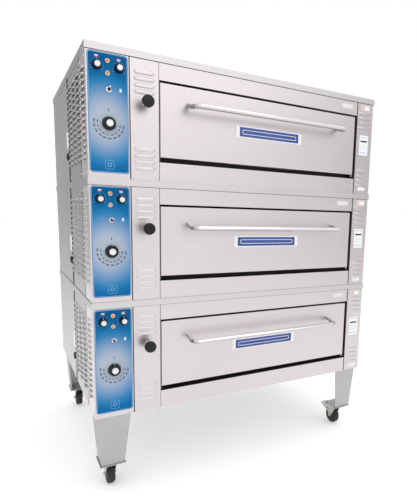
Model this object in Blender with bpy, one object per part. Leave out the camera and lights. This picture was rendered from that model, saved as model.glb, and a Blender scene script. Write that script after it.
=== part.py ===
"""A three-section electric deck oven on four sheet-metal legs with swivel casters.

Metres, +Z up, the front faces -Y and +X is to the right of someone standing in front.
The origin is on the floor, at the middle of the whole oven's bounding box.
"""

import math

import bmesh
import bpy
from mathutils import Matrix, Vector

# Whole oven
WIDTH = 1.422  # over the side skins
DEPTH = 1.092  # front skin to back skin
SECTION = 0.488  # height of one stacked section
UNDER = 0.358  # floor to the underside of the lowest section
SHEET = 0.002
GAP = 0.0003  # left between pieces that touch
BAND = 0.026  # height of the rail round the top of each section
BAND_PROUD = 0.004
DECKS = ("lower", "middle", "upper")

# Front face, measured from the left side skin and from the underside of a section
CONTROL_W = 0.158
DOOR_OPEN_L = 0.273
DOOR_OPEN_R = 1.315
FRAME_DEEP = 0.0485
RING_DEEP = 0.008
POCKET_WALL = 0.0015
SILL_TOP = 0.0762
HEADER_LOW = 0.3953
MOUTH_SIDE = 0.026  # door opening edge to the chamber mouth
MOUTH_LOW = 0.1076
MOUTH_HIGH = 0.3746

# Door
DOOR_GAP_L = 0.0045
DOOR_GAP_R = 0.0125
DOOR_LOW = 0.0965
DOOR_HIGH = 0.3866
DOOR_THICK = 0.038
DOOR_EDGE = 0.0025
PLUG_OUT = 0.0075
PLUG_INSET = 0.006  # inside the chamber mouth all round
DRAIN_HALF = 0.2
DRAIN_DEEP = (0.012, 0.026)
HINGE_IN = 0.014  # hinge axis behind the front plane
HINGE_Z = 0.0917
PIN_R = 0.004
PIN_ROOT = 0.003
EAR_W = 0.005
EAR_HALF = 0.008
EAR_BELOW = 0.007

# Door handle
HANDLE_ROOT_Z = 0.314
HANDLE_Z = 0.302  # the grip hangs a little below its two roots
HANDLE_HALF = 0.392
HANDLE_REACH = 0.080
HANDLE_R = 0.0105
HANDLE_BEND = 0.030
HANDLE_STUB = 0.006

# Chamber
CHAMBER_SIDE = 0.018
CHAMBER_LOW = 0.038
CHAMBER_HIGH = 0.3943
CHAMBER_BACK = 1.030
RAIL_W = 0.020
HEARTH_THICK = 0.025
HEARTH_TOP = 0.1076
ELEMENT_Z = 0.3766
ELEMENT_R = 0.0045
ELEMENT_PASSES = 6
ELEMENT_PITCH = 0.150
ELEMENT_FIRST = 0.150  # front plane to the first pass
ELEMENT_TURN_IN = 0.110  # side wall to the middle of a turn
ELEMENT_TAIL = 0.030  # the ends' reach past the left wall
HEARTH_CLEAR = 0.004
HEARTH_EDGE = 0.003

# Controls, measured down from the top of a section and in from the left skin
HEAT_X = (0.0387, 0.119)
HEAT_DOWN = 0.0797
THERMO_X = 0.079
THERMO_DOWN = 0.284
TOGGLE_X = 0.081
TOGGLE_DOWN = 0.160
PILOT_X = 0.078
PILOT_DOWN = (0.0576, 0.1018)
PILOT_HOLE_R = 0.0065
HEAT_KNOB = (0.017, 0.019, 0.0095, 0.025)  # skirt radius, skirt front, cap radius, cap front
THERMO_KNOB = (0.026, 0.015, 0.0120, 0.0235)
SHAFT_R = 0.003
SHAFT_IN = 0.012
SHAFT_HOLE_R = 0.0037
BUSHING_OUT = 0.010
BUSHING_R = 0.007
BUSHING_BORE = 0.0048
TOGGLE_TILT = math.radians(12)
TOGGLE_PROFILE = (
    (0, -0.002), (0.0022, -0.001), (0.0022, 0.011),
    (0.0036, 0.024), (0.0026, 0.027), (0, 0.028),
)
DRILL_HALF = 0.02
PANEL_GAP = 0.001  # between the control panel and the vent panel

# Vent panels
DAMPER_X = 0.2155
DAMPER_DOWN = 0.1915
DAMPER_HOLE_R = 0.006
DAMPER_PROFILE = (
    (0, -0.060), (0.005, -0.060), (0.005, 0.040), (0.020, 0.040),
    (0.0235, 0.0435), (0.0235, 0.0575), (0.0205, 0.0625), (0, 0.0640),
)
RIGHT_VENT_X = 1.3685
LOUVER_W = 0.073
LOUVER_H = 0.0168
LOUVER_OUT = 0.007
LOUVER_WALL = 0.0012
LOUVER_PITCH = 0.0245
LOUVERS_DOWN = (0.066, 0.358)  # top of the first louver in each group
LOUVERS_IN_GROUP = 4

# Legs and casters
LEG_H = 0.236
LEG_TOP_W = 0.138
LEG_FOOT_W = 0.096
LEG_INSET = 0.010
LEG_FRONT_INSET = 0.018
LEG_LEAN = 0.015
LEG_SHEET = 0.0025
FOOT_W = 0.108
FOOT_THICK = 0.003
WHEEL_R = 0.0445
WHEEL_HALF = 0.016
AXLE_R = 0.004
TRAIL = 0.032
FORK_IN = 0.0185
FORK_OUT = 0.0215
CROWN_PROFILE = ((0.027, 0), (0.027, 0.005), (0.020, 0.0105))
CHEEK_Y = (-0.018, 0.026)  # a fork's side plates, behind the swivel axis
CHEEK_DOWN = 0.008
FORK_TAIL = 0.014  # how far they reach behind the axle
BRAKED_TAIL = 0.030
TAIL_DOWN = (0.022, 0.036)
AXLE_LAND = 0.009
AXLE_BELOW = 0.007
AXLE_END = 0.003
BRIDGE_Y = (-0.017, 0.025)
BRIDGE_DOWN = (0.009, 0.0115)
WHEEL_EDGE = 0.004
LEVER_THICK = 0.0025
PIVOT_BACK = 0.018  # brake pivot behind the axle
PIVOT_UP = 0.027  # and above it
LEVER_ARM = ((-0.006, -0.005), (-0.006, 0.006), (0.060, 0.022), (0.060, 0.018), (0.006, -0.006))
LEVER_PEDAL = ((0.026, 0.0135), (0.066, 0.0232), (0.066, 0.0207), (0.026, 0.0110))

FRONT = -(DEPTH - HANDLE_REACH - HANDLE_R) / 2
BACK = FRONT + DEPTH
LEFT = -WIDTH / 2
RIGHT = WIDTH / 2
OPEN_L = LEFT + DOOR_OPEN_L
OPEN_R = LEFT + DOOR_OPEN_R
DOOR_MID = (OPEN_L + OPEN_R) / 2
MOUTH_L = OPEN_L + MOUTH_SIDE
MOUTH_R = OPEN_R - MOUTH_SIDE
DOOR_L = OPEN_L + DOOR_GAP_L
DOOR_R = OPEN_R - DOOR_GAP_R
FAR = 1.0  # past any face that a cutter runs out of


def clear_scene():
    for old in list(bpy.data.objects):
        bpy.data.objects.remove(old, do_unlink=True)


def make_material(name, colour, roughness, metallic):
    made = bpy.data.materials.new(name)
    made.use_nodes = True
    shader = made.node_tree.nodes["Principled BSDF"]
    shader.inputs["Base Color"].default_value = (*colour, 1.0)
    shader.inputs["Roughness"].default_value = roughness
    shader.inputs["Metallic"].default_value = metallic
    made.diffuse_color = (*colour, 1.0)
    return made


def piece(name, mesh_maker, material, origin=(0, 0, 0), smooth_angle=None):
    """An object whose mesh is made in world coordinates and then moved to sit on its own origin."""
    bm = bmesh.new()
    mesh_maker(bm)
    bmesh.ops.recalc_face_normals(bm, faces=bm.faces)
    bm.transform(Matrix.Translation(-Vector(origin)))
    mesh = bpy.data.meshes.new(name)
    bm.to_mesh(mesh)
    bm.free()
    obj = bpy.data.objects.new(name, mesh)
    obj.location = origin
    bpy.context.scene.collection.objects.link(obj)
    if material:
        mesh.materials.append(material)
    if smooth_angle:
        mesh.shade_smooth()
        mesh.set_sharp_from_angle(angle=math.radians(smooth_angle))
    return obj


def helper(name, mesh_maker):
    obj = piece(name, mesh_maker, None)
    obj.hide_render = True
    obj.display_type = "WIRE"
    return obj


def boolean(obj, other, operation):
    modifier = obj.modifiers.new(operation.lower(), "BOOLEAN")
    modifier.operation = operation
    modifier.solver = "EXACT"
    modifier.object = other


def bevel(obj, width, segments, angle=50):
    modifier = obj.modifiers.new("edges", "BEVEL")
    modifier.width = width
    modifier.segments = segments
    modifier.limit_method = "ANGLE"
    modifier.angle_limit = math.radians(angle)


def add_hexahedron(bm, low, high):
    """A solid between a lower and an upper quad, each given as four corners in the same turn."""
    a = [bm.verts.new(p) for p in low]
    b = [bm.verts.new(p) for p in high]
    bm.faces.new(a[::-1])
    bm.faces.new(b)
    for i in range(4):
        j = (i + 1) % 4
        bm.faces.new((a[i], a[j], b[j], b[i]))


def add_box(bm, x0, x1, y0, y1, z0, z1):
    base = ((x0, y0), (x1, y0), (x1, y1), (x0, y1))
    add_hexahedron(bm, [(x, y, z0) for x, y in base], [(x, y, z1) for x, y in base])


def boxes(*bounds):
    def make(bm):
        for b in bounds:
            add_box(bm, *b)

    return make


def add_prism(bm, x0, x1, outline):
    """An outline of (y, z) points, extruded from x0 to x1."""
    a = [bm.verts.new((x0, y, z)) for y, z in outline]
    b = [bm.verts.new((x1, y, z)) for y, z in outline]
    bm.faces.new(a)
    bm.faces.new(b[::-1])
    for i in range(len(outline)):
        j = (i + 1) % len(outline)
        bm.faces.new((a[i], b[i], b[j], a[j]))


def add_turned(bm, start, direction, profile, sides):
    """A profile of (radius, distance along direction) points turned about the line from start."""
    along = Vector(direction).normalized()
    turn = Vector((0, 0, 1)).rotation_difference(along).to_matrix()
    rings = []
    for radius, distance in profile:
        if radius == 0:
            rings.append([bm.verts.new(Vector(start) + along * distance)])
            continue
        ring = []
        for i in range(sides):
            angle = 2 * math.pi * i / sides
            out = turn @ Vector((radius * math.cos(angle), radius * math.sin(angle), 0))
            ring.append(bm.verts.new(Vector(start) + out + along * distance))
        rings.append(ring)
    for a, b in zip(rings, rings[1:]):
        for i in range(sides):
            j = (i + 1) % sides
            corners = [a[i % len(a)], a[j % len(a)], b[j % len(b)], b[i % len(b)]]
            bm.faces.new(list(dict.fromkeys(corners)))
    for ring in (rings[0], rings[-1]):
        if len(ring) > 1:
            bm.faces.new(ring)


def turned(start, direction, profile, sides):
    return lambda bm: add_turned(bm, start, direction, profile, sides)


def rod(start, end, radius, sides=12):
    length = (Vector(end) - Vector(start)).length
    direction = Vector(end) - Vector(start)
    return turned(start, direction, ((radius, 0), (radius, length)), sides)


def many(*makers):
    def make(bm):
        for maker in makers:
            maker(bm)

    return make


def tube(name, points, radius, material, roundness):
    curve = bpy.data.curves.new(name, "CURVE")
    curve.dimensions = "3D"
    curve.bevel_depth = radius
    curve.bevel_resolution = roundness
    curve.use_fill_caps = True
    spline = curve.splines.new("POLY")
    spline.points.add(len(points) - 1)
    for target, point in zip(spline.points, points):
        target.co = (*point, 1)
    obj = bpy.data.objects.new(name, curve)
    curve.materials.append(material)
    bpy.context.scene.collection.objects.link(obj)
    return obj


def bend(centre, radius, axis_a, axis_b, start, end, steps):
    """Points of an arc in the plane of axis_a and axis_b."""
    a, b = Vector(axis_a), Vector(axis_b)
    points = []
    for i in range(steps + 1):
        angle = math.radians(start + (end - start) * i / steps)
        points.append(Vector(centre) + radius * (math.cos(angle) * a + math.sin(angle) * b))
    return points


def casing(deck, base, steel):
    top = base + SECTION
    low = base + GAP
    front_edge = FRONT + SHEET + GAP
    shell = piece(f"{deck}_casing", boxes((LEFT, RIGHT, front_edge, BACK, low, top)), steel)
    proud = BAND_PROUD
    rail = (LEFT - proud, RIGHT + proud, FRONT - proud, BACK, top - BAND, top)
    boolean(shell, helper(f"{deck}_casing_rail", boxes(rail)), "UNION")
    inside = (LEFT + SHEET, RIGHT - SHEET, FRONT - proud + SHEET, BACK - SHEET, low + SHEET, top - SHEET)
    boolean(shell, helper(f"{deck}_casing_inside", boxes(inside)), "DIFFERENCE")
    bay = (OPEN_L, OPEN_R, FRONT - SHEET, FRONT + FRAME_DEEP + GAP, low - SHEET, low + 2 * SHEET)
    boolean(shell, helper(f"{deck}_casing_frame_bay", boxes(bay)), "DIFFERENCE")


def chamber(deck, base, steel):
    x0, x1 = OPEN_L + CHAMBER_SIDE, OPEN_R - CHAMBER_SIDE
    y0, y1 = FRONT + FRAME_DEEP + GAP, FRONT + CHAMBER_BACK
    z0, z1 = base + CHAMBER_LOW, base + CHAMBER_HIGH
    liner = piece(f"{deck}_chamber", boxes((x0, x1, y0, y1, z0, z1)), steel)
    inside = (x0 + SHEET, x1 - SHEET, y0 - SHEET, y1 - SHEET, z0 + SHEET, z1 - SHEET)
    boolean(liner, helper(f"{deck}_chamber_inside", boxes(inside)), "DIFFERENCE")
    rail_top = base + HEARTH_TOP - HEARTH_THICK - GAP
    rails = boxes(
        (x0 + SHEET / 2, x0 + RAIL_W, y0, y1 - SHEET / 2, rail_top - SHEET, rail_top),
        (x1 - RAIL_W, x1 - SHEET / 2, y0, y1 - SHEET / 2, rail_top - SHEET, rail_top),
    )
    boolean(liner, helper(f"{deck}_chamber_rails", rails), "UNION")
    holes = [
        rod((x0 - RAIL_W, y, base + ELEMENT_Z), (x0 + RAIL_W, y, base + ELEMENT_Z), ELEMENT_R + SHEET)
        for y in (element_row(0), element_row(ELEMENT_PASSES - 1))
    ]
    boolean(liner, helper(f"{deck}_chamber_holes", many(*holes)), "DIFFERENCE")


def element_row(index):
    return FRONT + ELEMENT_FIRST + ELEMENT_PITCH * index


def heating_element(deck, base, steel):
    """A serpentine rod under the chamber roof; both ends leave through the left wall."""
    wall = OPEN_L + CHAMBER_SIDE
    left, right = wall + ELEMENT_TURN_IN, OPEN_R - CHAMBER_SIDE - ELEMENT_TURN_IN
    z = base + ELEMENT_Z
    points = [Vector((wall - ELEMENT_TAIL, element_row(0), z))]
    for i in range(ELEMENT_PASSES - 1):
        at_right = i % 2 == 0
        middle = (element_row(i) + element_row(i + 1)) / 2
        side = (1, 0, 0) if at_right else (-1, 0, 0)
        centre = (right if at_right else left, middle, z)
        points += bend(centre, ELEMENT_PITCH / 2, side, (0, 1, 0), -90, 90, 6)
    points.append(Vector((wall - ELEMENT_TAIL, element_row(ELEMENT_PASSES - 1), z)))
    tube(f"{deck}_top_element", points, ELEMENT_R, steel, 1)


def hearth(deck, base, ceramic):
    margin = SHEET + HEARTH_CLEAR
    top = base + HEARTH_TOP
    slab = (
        OPEN_L + CHAMBER_SIDE + margin,
        OPEN_R - CHAMBER_SIDE - margin,
        FRONT + FRAME_DEEP + margin,
        FRONT + CHAMBER_BACK - margin,
        top - HEARTH_THICK,
        top,
    )
    bevel(piece(f"{deck}_hearth", boxes(slab), ceramic), HEARTH_EDGE, 1)


def door_frame(deck, base, steel):
    x0, x1 = OPEN_L + GAP, OPEN_R - GAP
    y1 = FRONT + FRAME_DEEP
    low, high = base + GAP, base + SECTION - BAND - GAP
    frame = piece(f"{deck}_door_frame", boxes((x0, x1, FRONT, y1, low, high)), steel)
    sill, header = base + SILL_TOP, base + HEADER_LOW
    pocket = (x0 + POCKET_WALL, x1 - POCKET_WALL, FRONT - FAR, y1 - RING_DEEP, sill, header)
    boolean(frame, helper(f"{deck}_frame_pocket", boxes(pocket)), "DIFFERENCE")
    mouth = (MOUTH_L, MOUTH_R, FRONT - FAR, y1 + FAR, base + MOUTH_LOW, base + MOUTH_HIGH)
    boolean(frame, helper(f"{deck}_frame_mouth", boxes(mouth)), "DIFFERENCE")
    hollow_x = (x0 + SHEET, x1 - SHEET)
    hollow_y = (FRONT + SHEET, y1 - SHEET)
    hollows = boxes(
        (*hollow_x, *hollow_y, header + SHEET, high + SHEET),
        (*hollow_x, *hollow_y, low - SHEET, sill - SHEET),
    )
    boolean(frame, helper(f"{deck}_frame_hollows", hollows), "DIFFERENCE")
    y, z = FRONT + HINGE_IN, base + HINGE_Z
    pin_holes = [
        rod((x - 2 * POCKET_WALL, y, z), (x + 2 * POCKET_WALL, y, z), PIN_R + 2 * GAP, 12)
        for x in (x0, x1)
    ]
    boolean(frame, helper(f"{deck}_frame_pin_holes", many(*pin_holes)), "DIFFERENCE")


def door(deck, base, steel):
    """A hollow drop-down door: outer pan, inner plug, and a hinge ear and pin at each end."""
    low, high = base + DOOR_LOW, base + DOOR_HIGH
    y1 = FRONT + DOOR_THICK
    axis = (DOOR_MID, FRONT + HINGE_IN, base + HINGE_Z)
    panel = piece(f"{deck}_door", boxes((DOOR_L, DOOR_R, FRONT, y1, low, high)), steel, axis)
    bevel(panel, DOOR_EDGE, 2)
    plug = (MOUTH_L + PLUG_INSET, MOUTH_R - PLUG_INSET, y1 - SHEET / 2, y1 + PLUG_OUT,
            base + MOUTH_LOW + PLUG_INSET, base + MOUTH_HIGH - PLUG_INSET)
    boolean(panel, helper(f"{deck}_door_plug", boxes(plug)), "UNION")
    inside = (DOOR_L + SHEET, DOOR_R - SHEET, FRONT + SHEET, y1 - SHEET, low + SHEET, high - SHEET)
    boolean(panel, helper(f"{deck}_door_inside", boxes(inside)), "DIFFERENCE")
    drain_y = (FRONT + DRAIN_DEEP[0], FRONT + DRAIN_DEEP[1])
    drain = (DOOR_MID - DRAIN_HALF, DOOR_MID + DRAIN_HALF, *drain_y, low - SHEET, low + 2 * SHEET)
    boolean(panel, helper(f"{deck}_door_drain", boxes(drain)), "DIFFERENCE")
    _, y, z = axis
    ear = (y - EAR_HALF, y + EAR_HALF, z - EAR_BELOW, low + SHEET / 2)
    ears = boxes((DOOR_L + GAP, DOOR_L + EAR_W, *ear), (DOOR_R - EAR_W, DOOR_R - GAP, *ear))
    boolean(panel, helper(f"{deck}_door_ears", ears), "UNION")
    pins = many(
        rod((OPEN_L + GAP, y, z), (DOOR_L + PIN_ROOT, y, z), PIN_R),
        rod((DOOR_R - PIN_ROOT, y, z), (OPEN_R - GAP, y, z), PIN_R),
    )
    boolean(panel, helper(f"{deck}_door_pins", pins), "UNION")


def handle(deck, base, steel):
    """A bent bar: two legs that fall a little on their way out from the door, and the grip between them."""
    root, grip = base + HANDLE_ROOT_Z, base + HANDLE_Z
    bar_y = FRONT - HANDLE_REACH
    middle = (DOOR_L + DOOR_R) / 2
    x0, x1 = middle - HANDLE_HALF, middle + HANDLE_HALF
    r = HANDLE_BEND
    leg_points = [(FRONT - GAP, root), (FRONT - HANDLE_STUB, root)]
    start, end = FRONT - HANDLE_STUB, bar_y + r
    for part in (1 / 3, 2 / 3):
        fall = part * part * (3 - 2 * part)
        leg_points.append((start + part * (end - start), root + fall * (grip - root)))
    points = [Vector((x0, y, z)) for y, z in leg_points]
    points += bend((x0 + r, bar_y + r, grip), r, (-1, 0, 0), (0, -1, 0), 0, 90, 5)
    points += bend((x1 - r, bar_y + r, grip), r, (0, -1, 0), (1, 0, 0), 0, 90, 5)
    points += [Vector((x1, y, z)) for y, z in reversed(leg_points)]
    tube(f"{deck}_door_handle", points, HANDLE_R, steel, 2)


def control_panel(deck, base, steel):
    top = base + SECTION
    face = (LEFT, LEFT + CONTROL_W - PANEL_GAP, FRONT, FRONT + SHEET, base + GAP, top - BAND - GAP)
    panel = piece(f"{deck}_control_panel", boxes(face), steel)
    toggle = (LEFT + TOGGLE_X, FRONT, top - TOGGLE_DOWN)
    bushing = turned((toggle[0], FRONT + SHEET / 2, toggle[2]), (0, -1, 0),
                     ((BUSHING_R, 0), (BUSHING_R, BUSHING_OUT)), 12)
    boolean(panel, helper(f"{deck}_toggle_bushing", bushing), "UNION")
    holes = [(LEFT + x, top - HEAT_DOWN, SHAFT_HOLE_R) for x in HEAT_X]
    holes += [(LEFT + PILOT_X, top - down, PILOT_HOLE_R) for down in PILOT_DOWN]
    holes.append((LEFT + THERMO_X, top - THERMO_DOWN, SHAFT_HOLE_R))
    holes.append((toggle[0], toggle[2], BUSHING_BORE))
    out, back = FRONT - DRILL_HALF, FRONT + DRILL_HALF
    drills = [rod((x, out, z), (x, back, z), radius, 12) for x, z, radius in holes]
    boolean(panel, helper(f"{deck}_control_drills", many(*drills)), "DIFFERENCE")


def knob(name, x, z, profile, sides, plastic):
    """A turned knob on its shaft; profile distances run from the panel's front face outwards."""
    made = turned((x, FRONT, z), (0, -1, 0), profile, sides)
    return piece(name, made, plastic, (x, FRONT, z), smooth_angle=40)


def dial_profile(radius, skirt, cap_radius, cap_front):
    return (
        (0, -SHAFT_IN),
        (SHAFT_R, -SHAFT_IN),
        (SHAFT_R, 2 * GAP),
        (radius, 2 * GAP),
        (radius, 0.003),
        (radius - 0.0025, skirt),
        (cap_radius, skirt + 0.0015),
        (cap_radius - 0.0005, cap_front),
        (0, cap_front),
    )


def knobs(deck, base, plastic):
    top = base + SECTION
    for use, x in zip(("top", "bottom"), HEAT_X):
        knob(f"{deck}_{use}_heat_knob", LEFT + x, top - HEAT_DOWN, dial_profile(*HEAT_KNOB), 16, plastic)
    thermostat = dial_profile(*THERMO_KNOB)
    knob(f"{deck}_thermostat_knob", LEFT + THERMO_X, top - THERMO_DOWN, thermostat, 20, plastic)


def toggle_lever(deck, base, steel):
    pivot = (LEFT + TOGGLE_X, FRONT, base + SECTION - TOGGLE_DOWN)
    direction = (0, -math.cos(TOGGLE_TILT), math.sin(TOGGLE_TILT))
    piece(f"{deck}_power_toggle", turned(pivot, direction, TOGGLE_PROFILE, 10), steel, pivot, smooth_angle=50)


def damper(deck, base, plastic):
    height = base + SECTION - DAMPER_DOWN
    knob(f"{deck}_damper_knob", LEFT + DAMPER_X, height, DAMPER_PROFILE, 20, plastic)


def louver_heights(top):
    return [
        top - down - i * LOUVER_PITCH
        for down in LOUVERS_DOWN
        for i in range(LOUVERS_IN_GROUP)
    ]


def louver_hoods(x, top):
    """Pressed hoods: wedges that open downwards."""
    def make(bm):
        for high in louver_heights(top):
            low = high - LOUVER_H
            outline = ((FRONT + SHEET / 2, high), (FRONT, high), (FRONT - LOUVER_OUT, low),
                       (FRONT + SHEET / 2, low))
            add_prism(bm, x - LOUVER_W / 2, x + LOUVER_W / 2, outline)

    return make


def louver_slots(x, top):
    """The hollow under each hood, which runs out through the sheet and out of the hood's lower edge."""
    half = LOUVER_W / 2 - LOUVER_WALL
    def make(bm):
        for high in louver_heights(top):
            low = high - LOUVER_H - LOUVER_WALL
            upper = high - 3 * LOUVER_WALL
            inner = FRONT - LOUVER_OUT + LOUVER_WALL
            outline = ((FRONT + 2 * SHEET, upper), (FRONT, upper), (inner, low), (FRONT + 2 * SHEET, low))
            add_prism(bm, x - half, x + half, outline)

    return make


def vent_panels(deck, base, steel):
    top = base + SECTION
    low, high = base + GAP, top - BAND - GAP
    left = (LEFT + CONTROL_W, OPEN_L - GAP, FRONT, FRONT + SHEET, low, high)
    right = (OPEN_R + GAP, RIGHT, FRONT, FRONT + SHEET, low, high)
    for side, face, x in (("left", left, LEFT + DAMPER_X), ("right", right, LEFT + RIGHT_VENT_X)):
        panel = piece(f"{deck}_{side}_vent_panel", boxes(face), steel)
        boolean(panel, helper(f"{deck}_{side}_hoods", louver_hoods(x, top)), "UNION")
        boolean(panel, helper(f"{deck}_{side}_slots", louver_slots(x, top)), "DIFFERENCE")
        if side == "left":
            z = top - DAMPER_DOWN
            hole = rod((x, FRONT - DRILL_HALF, z), (x, FRONT + DRILL_HALF, z), DAMPER_HOLE_R)
            boolean(panel, helper(f"{deck}_damper_hole", hole), "DIFFERENCE")


def leg_corners(side, end):
    """The outer corner of a leg at its top and at its foot, as (x, y), and the way inwards."""
    x = LEFT + LEG_INSET if side < 0 else RIGHT - LEG_INSET
    y = FRONT + LEG_FRONT_INSET if end < 0 else BACK - LEG_FRONT_INSET
    foot = (x - side * LEG_LEAN, y - end * LEG_LEAN)
    return (x, y), foot


def caster_axis(side, end):
    _, foot = leg_corners(side, end)
    return foot[0] - side * LEG_FOOT_W / 2, foot[1] - end * LEG_FOOT_W / 2


def leg(name, side, end, steel):
    """An angle-section leg, tapered towards the foot, with a flange on top and a plate for the caster."""
    (tx, ty), (fx, fy) = leg_corners(side, end)
    top = UNDER
    foot = UNDER - LEG_H

    def quad(x, y, across_x, across_y, z):
        x1, y1 = x - side * across_x, y - end * across_y
        return [(x, y, z), (x1, y, z), (x1, y1, z), (x, y1, z)]

    def face_sheet(bm):
        add_hexahedron(
            bm,
            quad(fx, fy, LEG_FOOT_W, LEG_SHEET, foot + FOOT_THICK / 2),
            quad(tx, ty, LEG_TOP_W, LEG_SHEET, top - LEG_SHEET / 2),
        )

    def side_sheet(bm):
        add_hexahedron(
            bm,
            quad(fx, fy, LEG_SHEET, LEG_FOOT_W, foot + FOOT_THICK / 2),
            quad(tx, ty, LEG_SHEET, LEG_TOP_W, top - LEG_SHEET / 2),
        )

    def flange(bm):
        add_hexahedron(bm, quad(tx, ty, LEG_TOP_W, LEG_TOP_W, top - LEG_SHEET),
                       quad(tx, ty, LEG_TOP_W, LEG_TOP_W, top))

    cx, cy = caster_axis(side, end)
    half = FOOT_W / 2
    made = piece(name, face_sheet, steel)
    boolean(made, helper(f"{name}_side", side_sheet), "UNION")
    boolean(made, helper(f"{name}_flange", flange), "UNION")
    plate = boxes((cx - half, cx + half, cy - half, cy + half, foot, foot + FOOT_THICK))
    boolean(made, helper(f"{name}_plate", plate), "UNION")


def fork(name, cx, cy, braked, steel):
    """The swivelling fork: a round crown, two side plates and the axle between them."""
    top = UNDER - LEG_H - GAP
    axle_y = cy + TRAIL
    crown = turned((cx, cy, top), (0, 0, -1), CROWN_PROFILE, 20)
    made = piece(name, crown, steel, (cx, cy, top), smooth_angle=40)
    tail = BRAKED_TAIL if braked else FORK_TAIL
    outline = (
        (cy + CHEEK_Y[0], top - CHEEK_DOWN),
        (cy + CHEEK_Y[1], top - CHEEK_DOWN),
        (axle_y + tail, top - TAIL_DOWN[0]),
        (axle_y + tail, top - TAIL_DOWN[1]),
        (axle_y + AXLE_LAND, WHEEL_R - AXLE_BELOW),
        (axle_y - AXLE_LAND, WHEEL_R - AXLE_BELOW),
    )
    cheeks = many(
        lambda bm: add_prism(bm, cx - FORK_OUT, cx - FORK_IN, outline),
        lambda bm: add_prism(bm, cx + FORK_IN, cx + FORK_OUT, outline),
    )
    boolean(made, helper(f"{name}_cheeks", cheeks), "UNION")
    span = FORK_OUT - GAP
    bridge = boxes((cx - span, cx + span, cy + BRIDGE_Y[0], cy + BRIDGE_Y[1],
                    top - BRIDGE_DOWN[1], top - BRIDGE_DOWN[0]))
    boolean(made, helper(f"{name}_bridge", bridge), "UNION")
    reach = FORK_OUT + AXLE_END
    axle = rod((cx - reach, axle_y, WHEEL_R), (cx + reach, axle_y, WHEEL_R), AXLE_R)
    boolean(made, helper(f"{name}_axle", axle), "UNION")


def wheel(name, cx, cy, rubber):
    centre = (cx, cy + TRAIL, WHEEL_R)
    rim = WHEEL_EDGE
    sides = 28

    def make(bm):
        bore = AXLE_R + 2 * GAP
        tread = WHEEL_R / math.cos(math.pi / sides)  # so that the tread's flats reach the wheel's radius
        profile = (
            (bore, -WHEEL_HALF),
            (WHEEL_R - rim, -WHEEL_HALF),
            (tread, -WHEEL_HALF + rim),
            (tread, WHEEL_HALF - rim),
            (WHEEL_R - rim, WHEEL_HALF),
            (bore, WHEEL_HALF),
        )
        rings = []
        for radius, out in profile:
            ring = []
            for i in range(sides):
                angle = 2 * math.pi * (i + 0.5) / sides
                y = centre[1] + radius * math.sin(angle)
                z = centre[2] - radius * math.cos(angle)
                ring.append(bm.verts.new((centre[0] + out, y, z)))
            rings.append(ring)
        for a, b in zip(rings, rings[1:] + rings[:1]):
            for i in range(sides):
                j = (i + 1) % sides
                bm.faces.new((a[i], a[j], b[j], b[i]))

    piece(name, make, rubber, centre, smooth_angle=35)


def brake_lever(name, cx, cy, steel):
    """A pedal whose two arms straddle the fork behind the wheel."""
    axle_y = cy + TRAIL
    pivot_y, pivot_z = axle_y + PIVOT_BACK, WHEEL_R + PIVOT_UP
    inner, outer = FORK_OUT + GAP, FORK_OUT + GAP + LEVER_THICK
    arm = [(pivot_y + y, pivot_z + z) for y, z in LEVER_ARM]
    pedal = [(pivot_y + y, pivot_z + z) for y, z in LEVER_PEDAL]
    made = piece(name, lambda bm: add_prism(bm, cx - outer, cx + outer, pedal), steel, (cx, pivot_y, pivot_z))
    arms = many(
        lambda bm: add_prism(bm, cx - outer - GAP, cx - inner, arm),
        lambda bm: add_prism(bm, cx + inner, cx + outer + GAP, arm),
    )
    boolean(made, helper(f"{name}_arms", arms), "UNION")


def stand(steel, zinc, rubber):
    for end, end_name in ((-1, "front"), (1, "rear")):
        for side, side_name in ((-1, "left"), (1, "right")):
            corner = f"{end_name}_{side_name}"
            cx, cy = caster_axis(side, end)
            leg(f"{corner}_leg", side, end, steel)
            fork(f"{corner}_caster_fork", cx, cy, end < 0, zinc)
            wheel(f"{corner}_wheel", cx, cy, rubber)
            if end < 0:
                brake_lever(f"{corner}_brake_lever", cx, cy, zinc)


def main():
    clear_scene()
    stainless = make_material("stainless", (0.62, 0.60, 0.59), 0.35, 1.0)
    liner_steel = make_material("liner_steel", (0.38, 0.38, 0.39), 0.5, 1.0)
    element_steel = make_material("element_steel", (0.20, 0.20, 0.21), 0.5, 1.0)
    ceramic = make_material("hearth_ceramic", (0.62, 0.53, 0.42), 0.9, 0.0)
    black = make_material("black_plastic", (0.012, 0.012, 0.013), 0.3, 0.0)
    leg_steel = make_material("leg_steel", (0.50, 0.50, 0.51), 0.45, 0.8)
    zinc = make_material("zinc", (0.55, 0.58, 0.56), 0.35, 1.0)
    rubber = make_material("black_rubber", (0.010, 0.010, 0.010), 0.6, 0.0)
    chrome = make_material("chrome", (0.75, 0.75, 0.76), 0.12, 1.0)
    for index, deck in enumerate(DECKS):
        base = UNDER + SECTION * index
        casing(deck, base, stainless)
        chamber(deck, base, liner_steel)
        heating_element(deck, base, element_steel)
        hearth(deck, base, ceramic)
        door_frame(deck, base, stainless)
        door(deck, base, stainless)
        handle(deck, base, stainless)
        control_panel(deck, base, stainless)
        vent_panels(deck, base, stainless)
        knobs(deck, base, black)
        toggle_lever(deck, base, chrome)
        damper(deck, base, black)
    stand(leg_steel, zinc, rubber)


main()
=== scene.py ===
"""The look of the deck oven: finishes for the CAD nodes, and the fine pieces that ride on its bodies."""
import math

import bmesh
import bpy
from mathutils import Matrix, Vector


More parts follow.
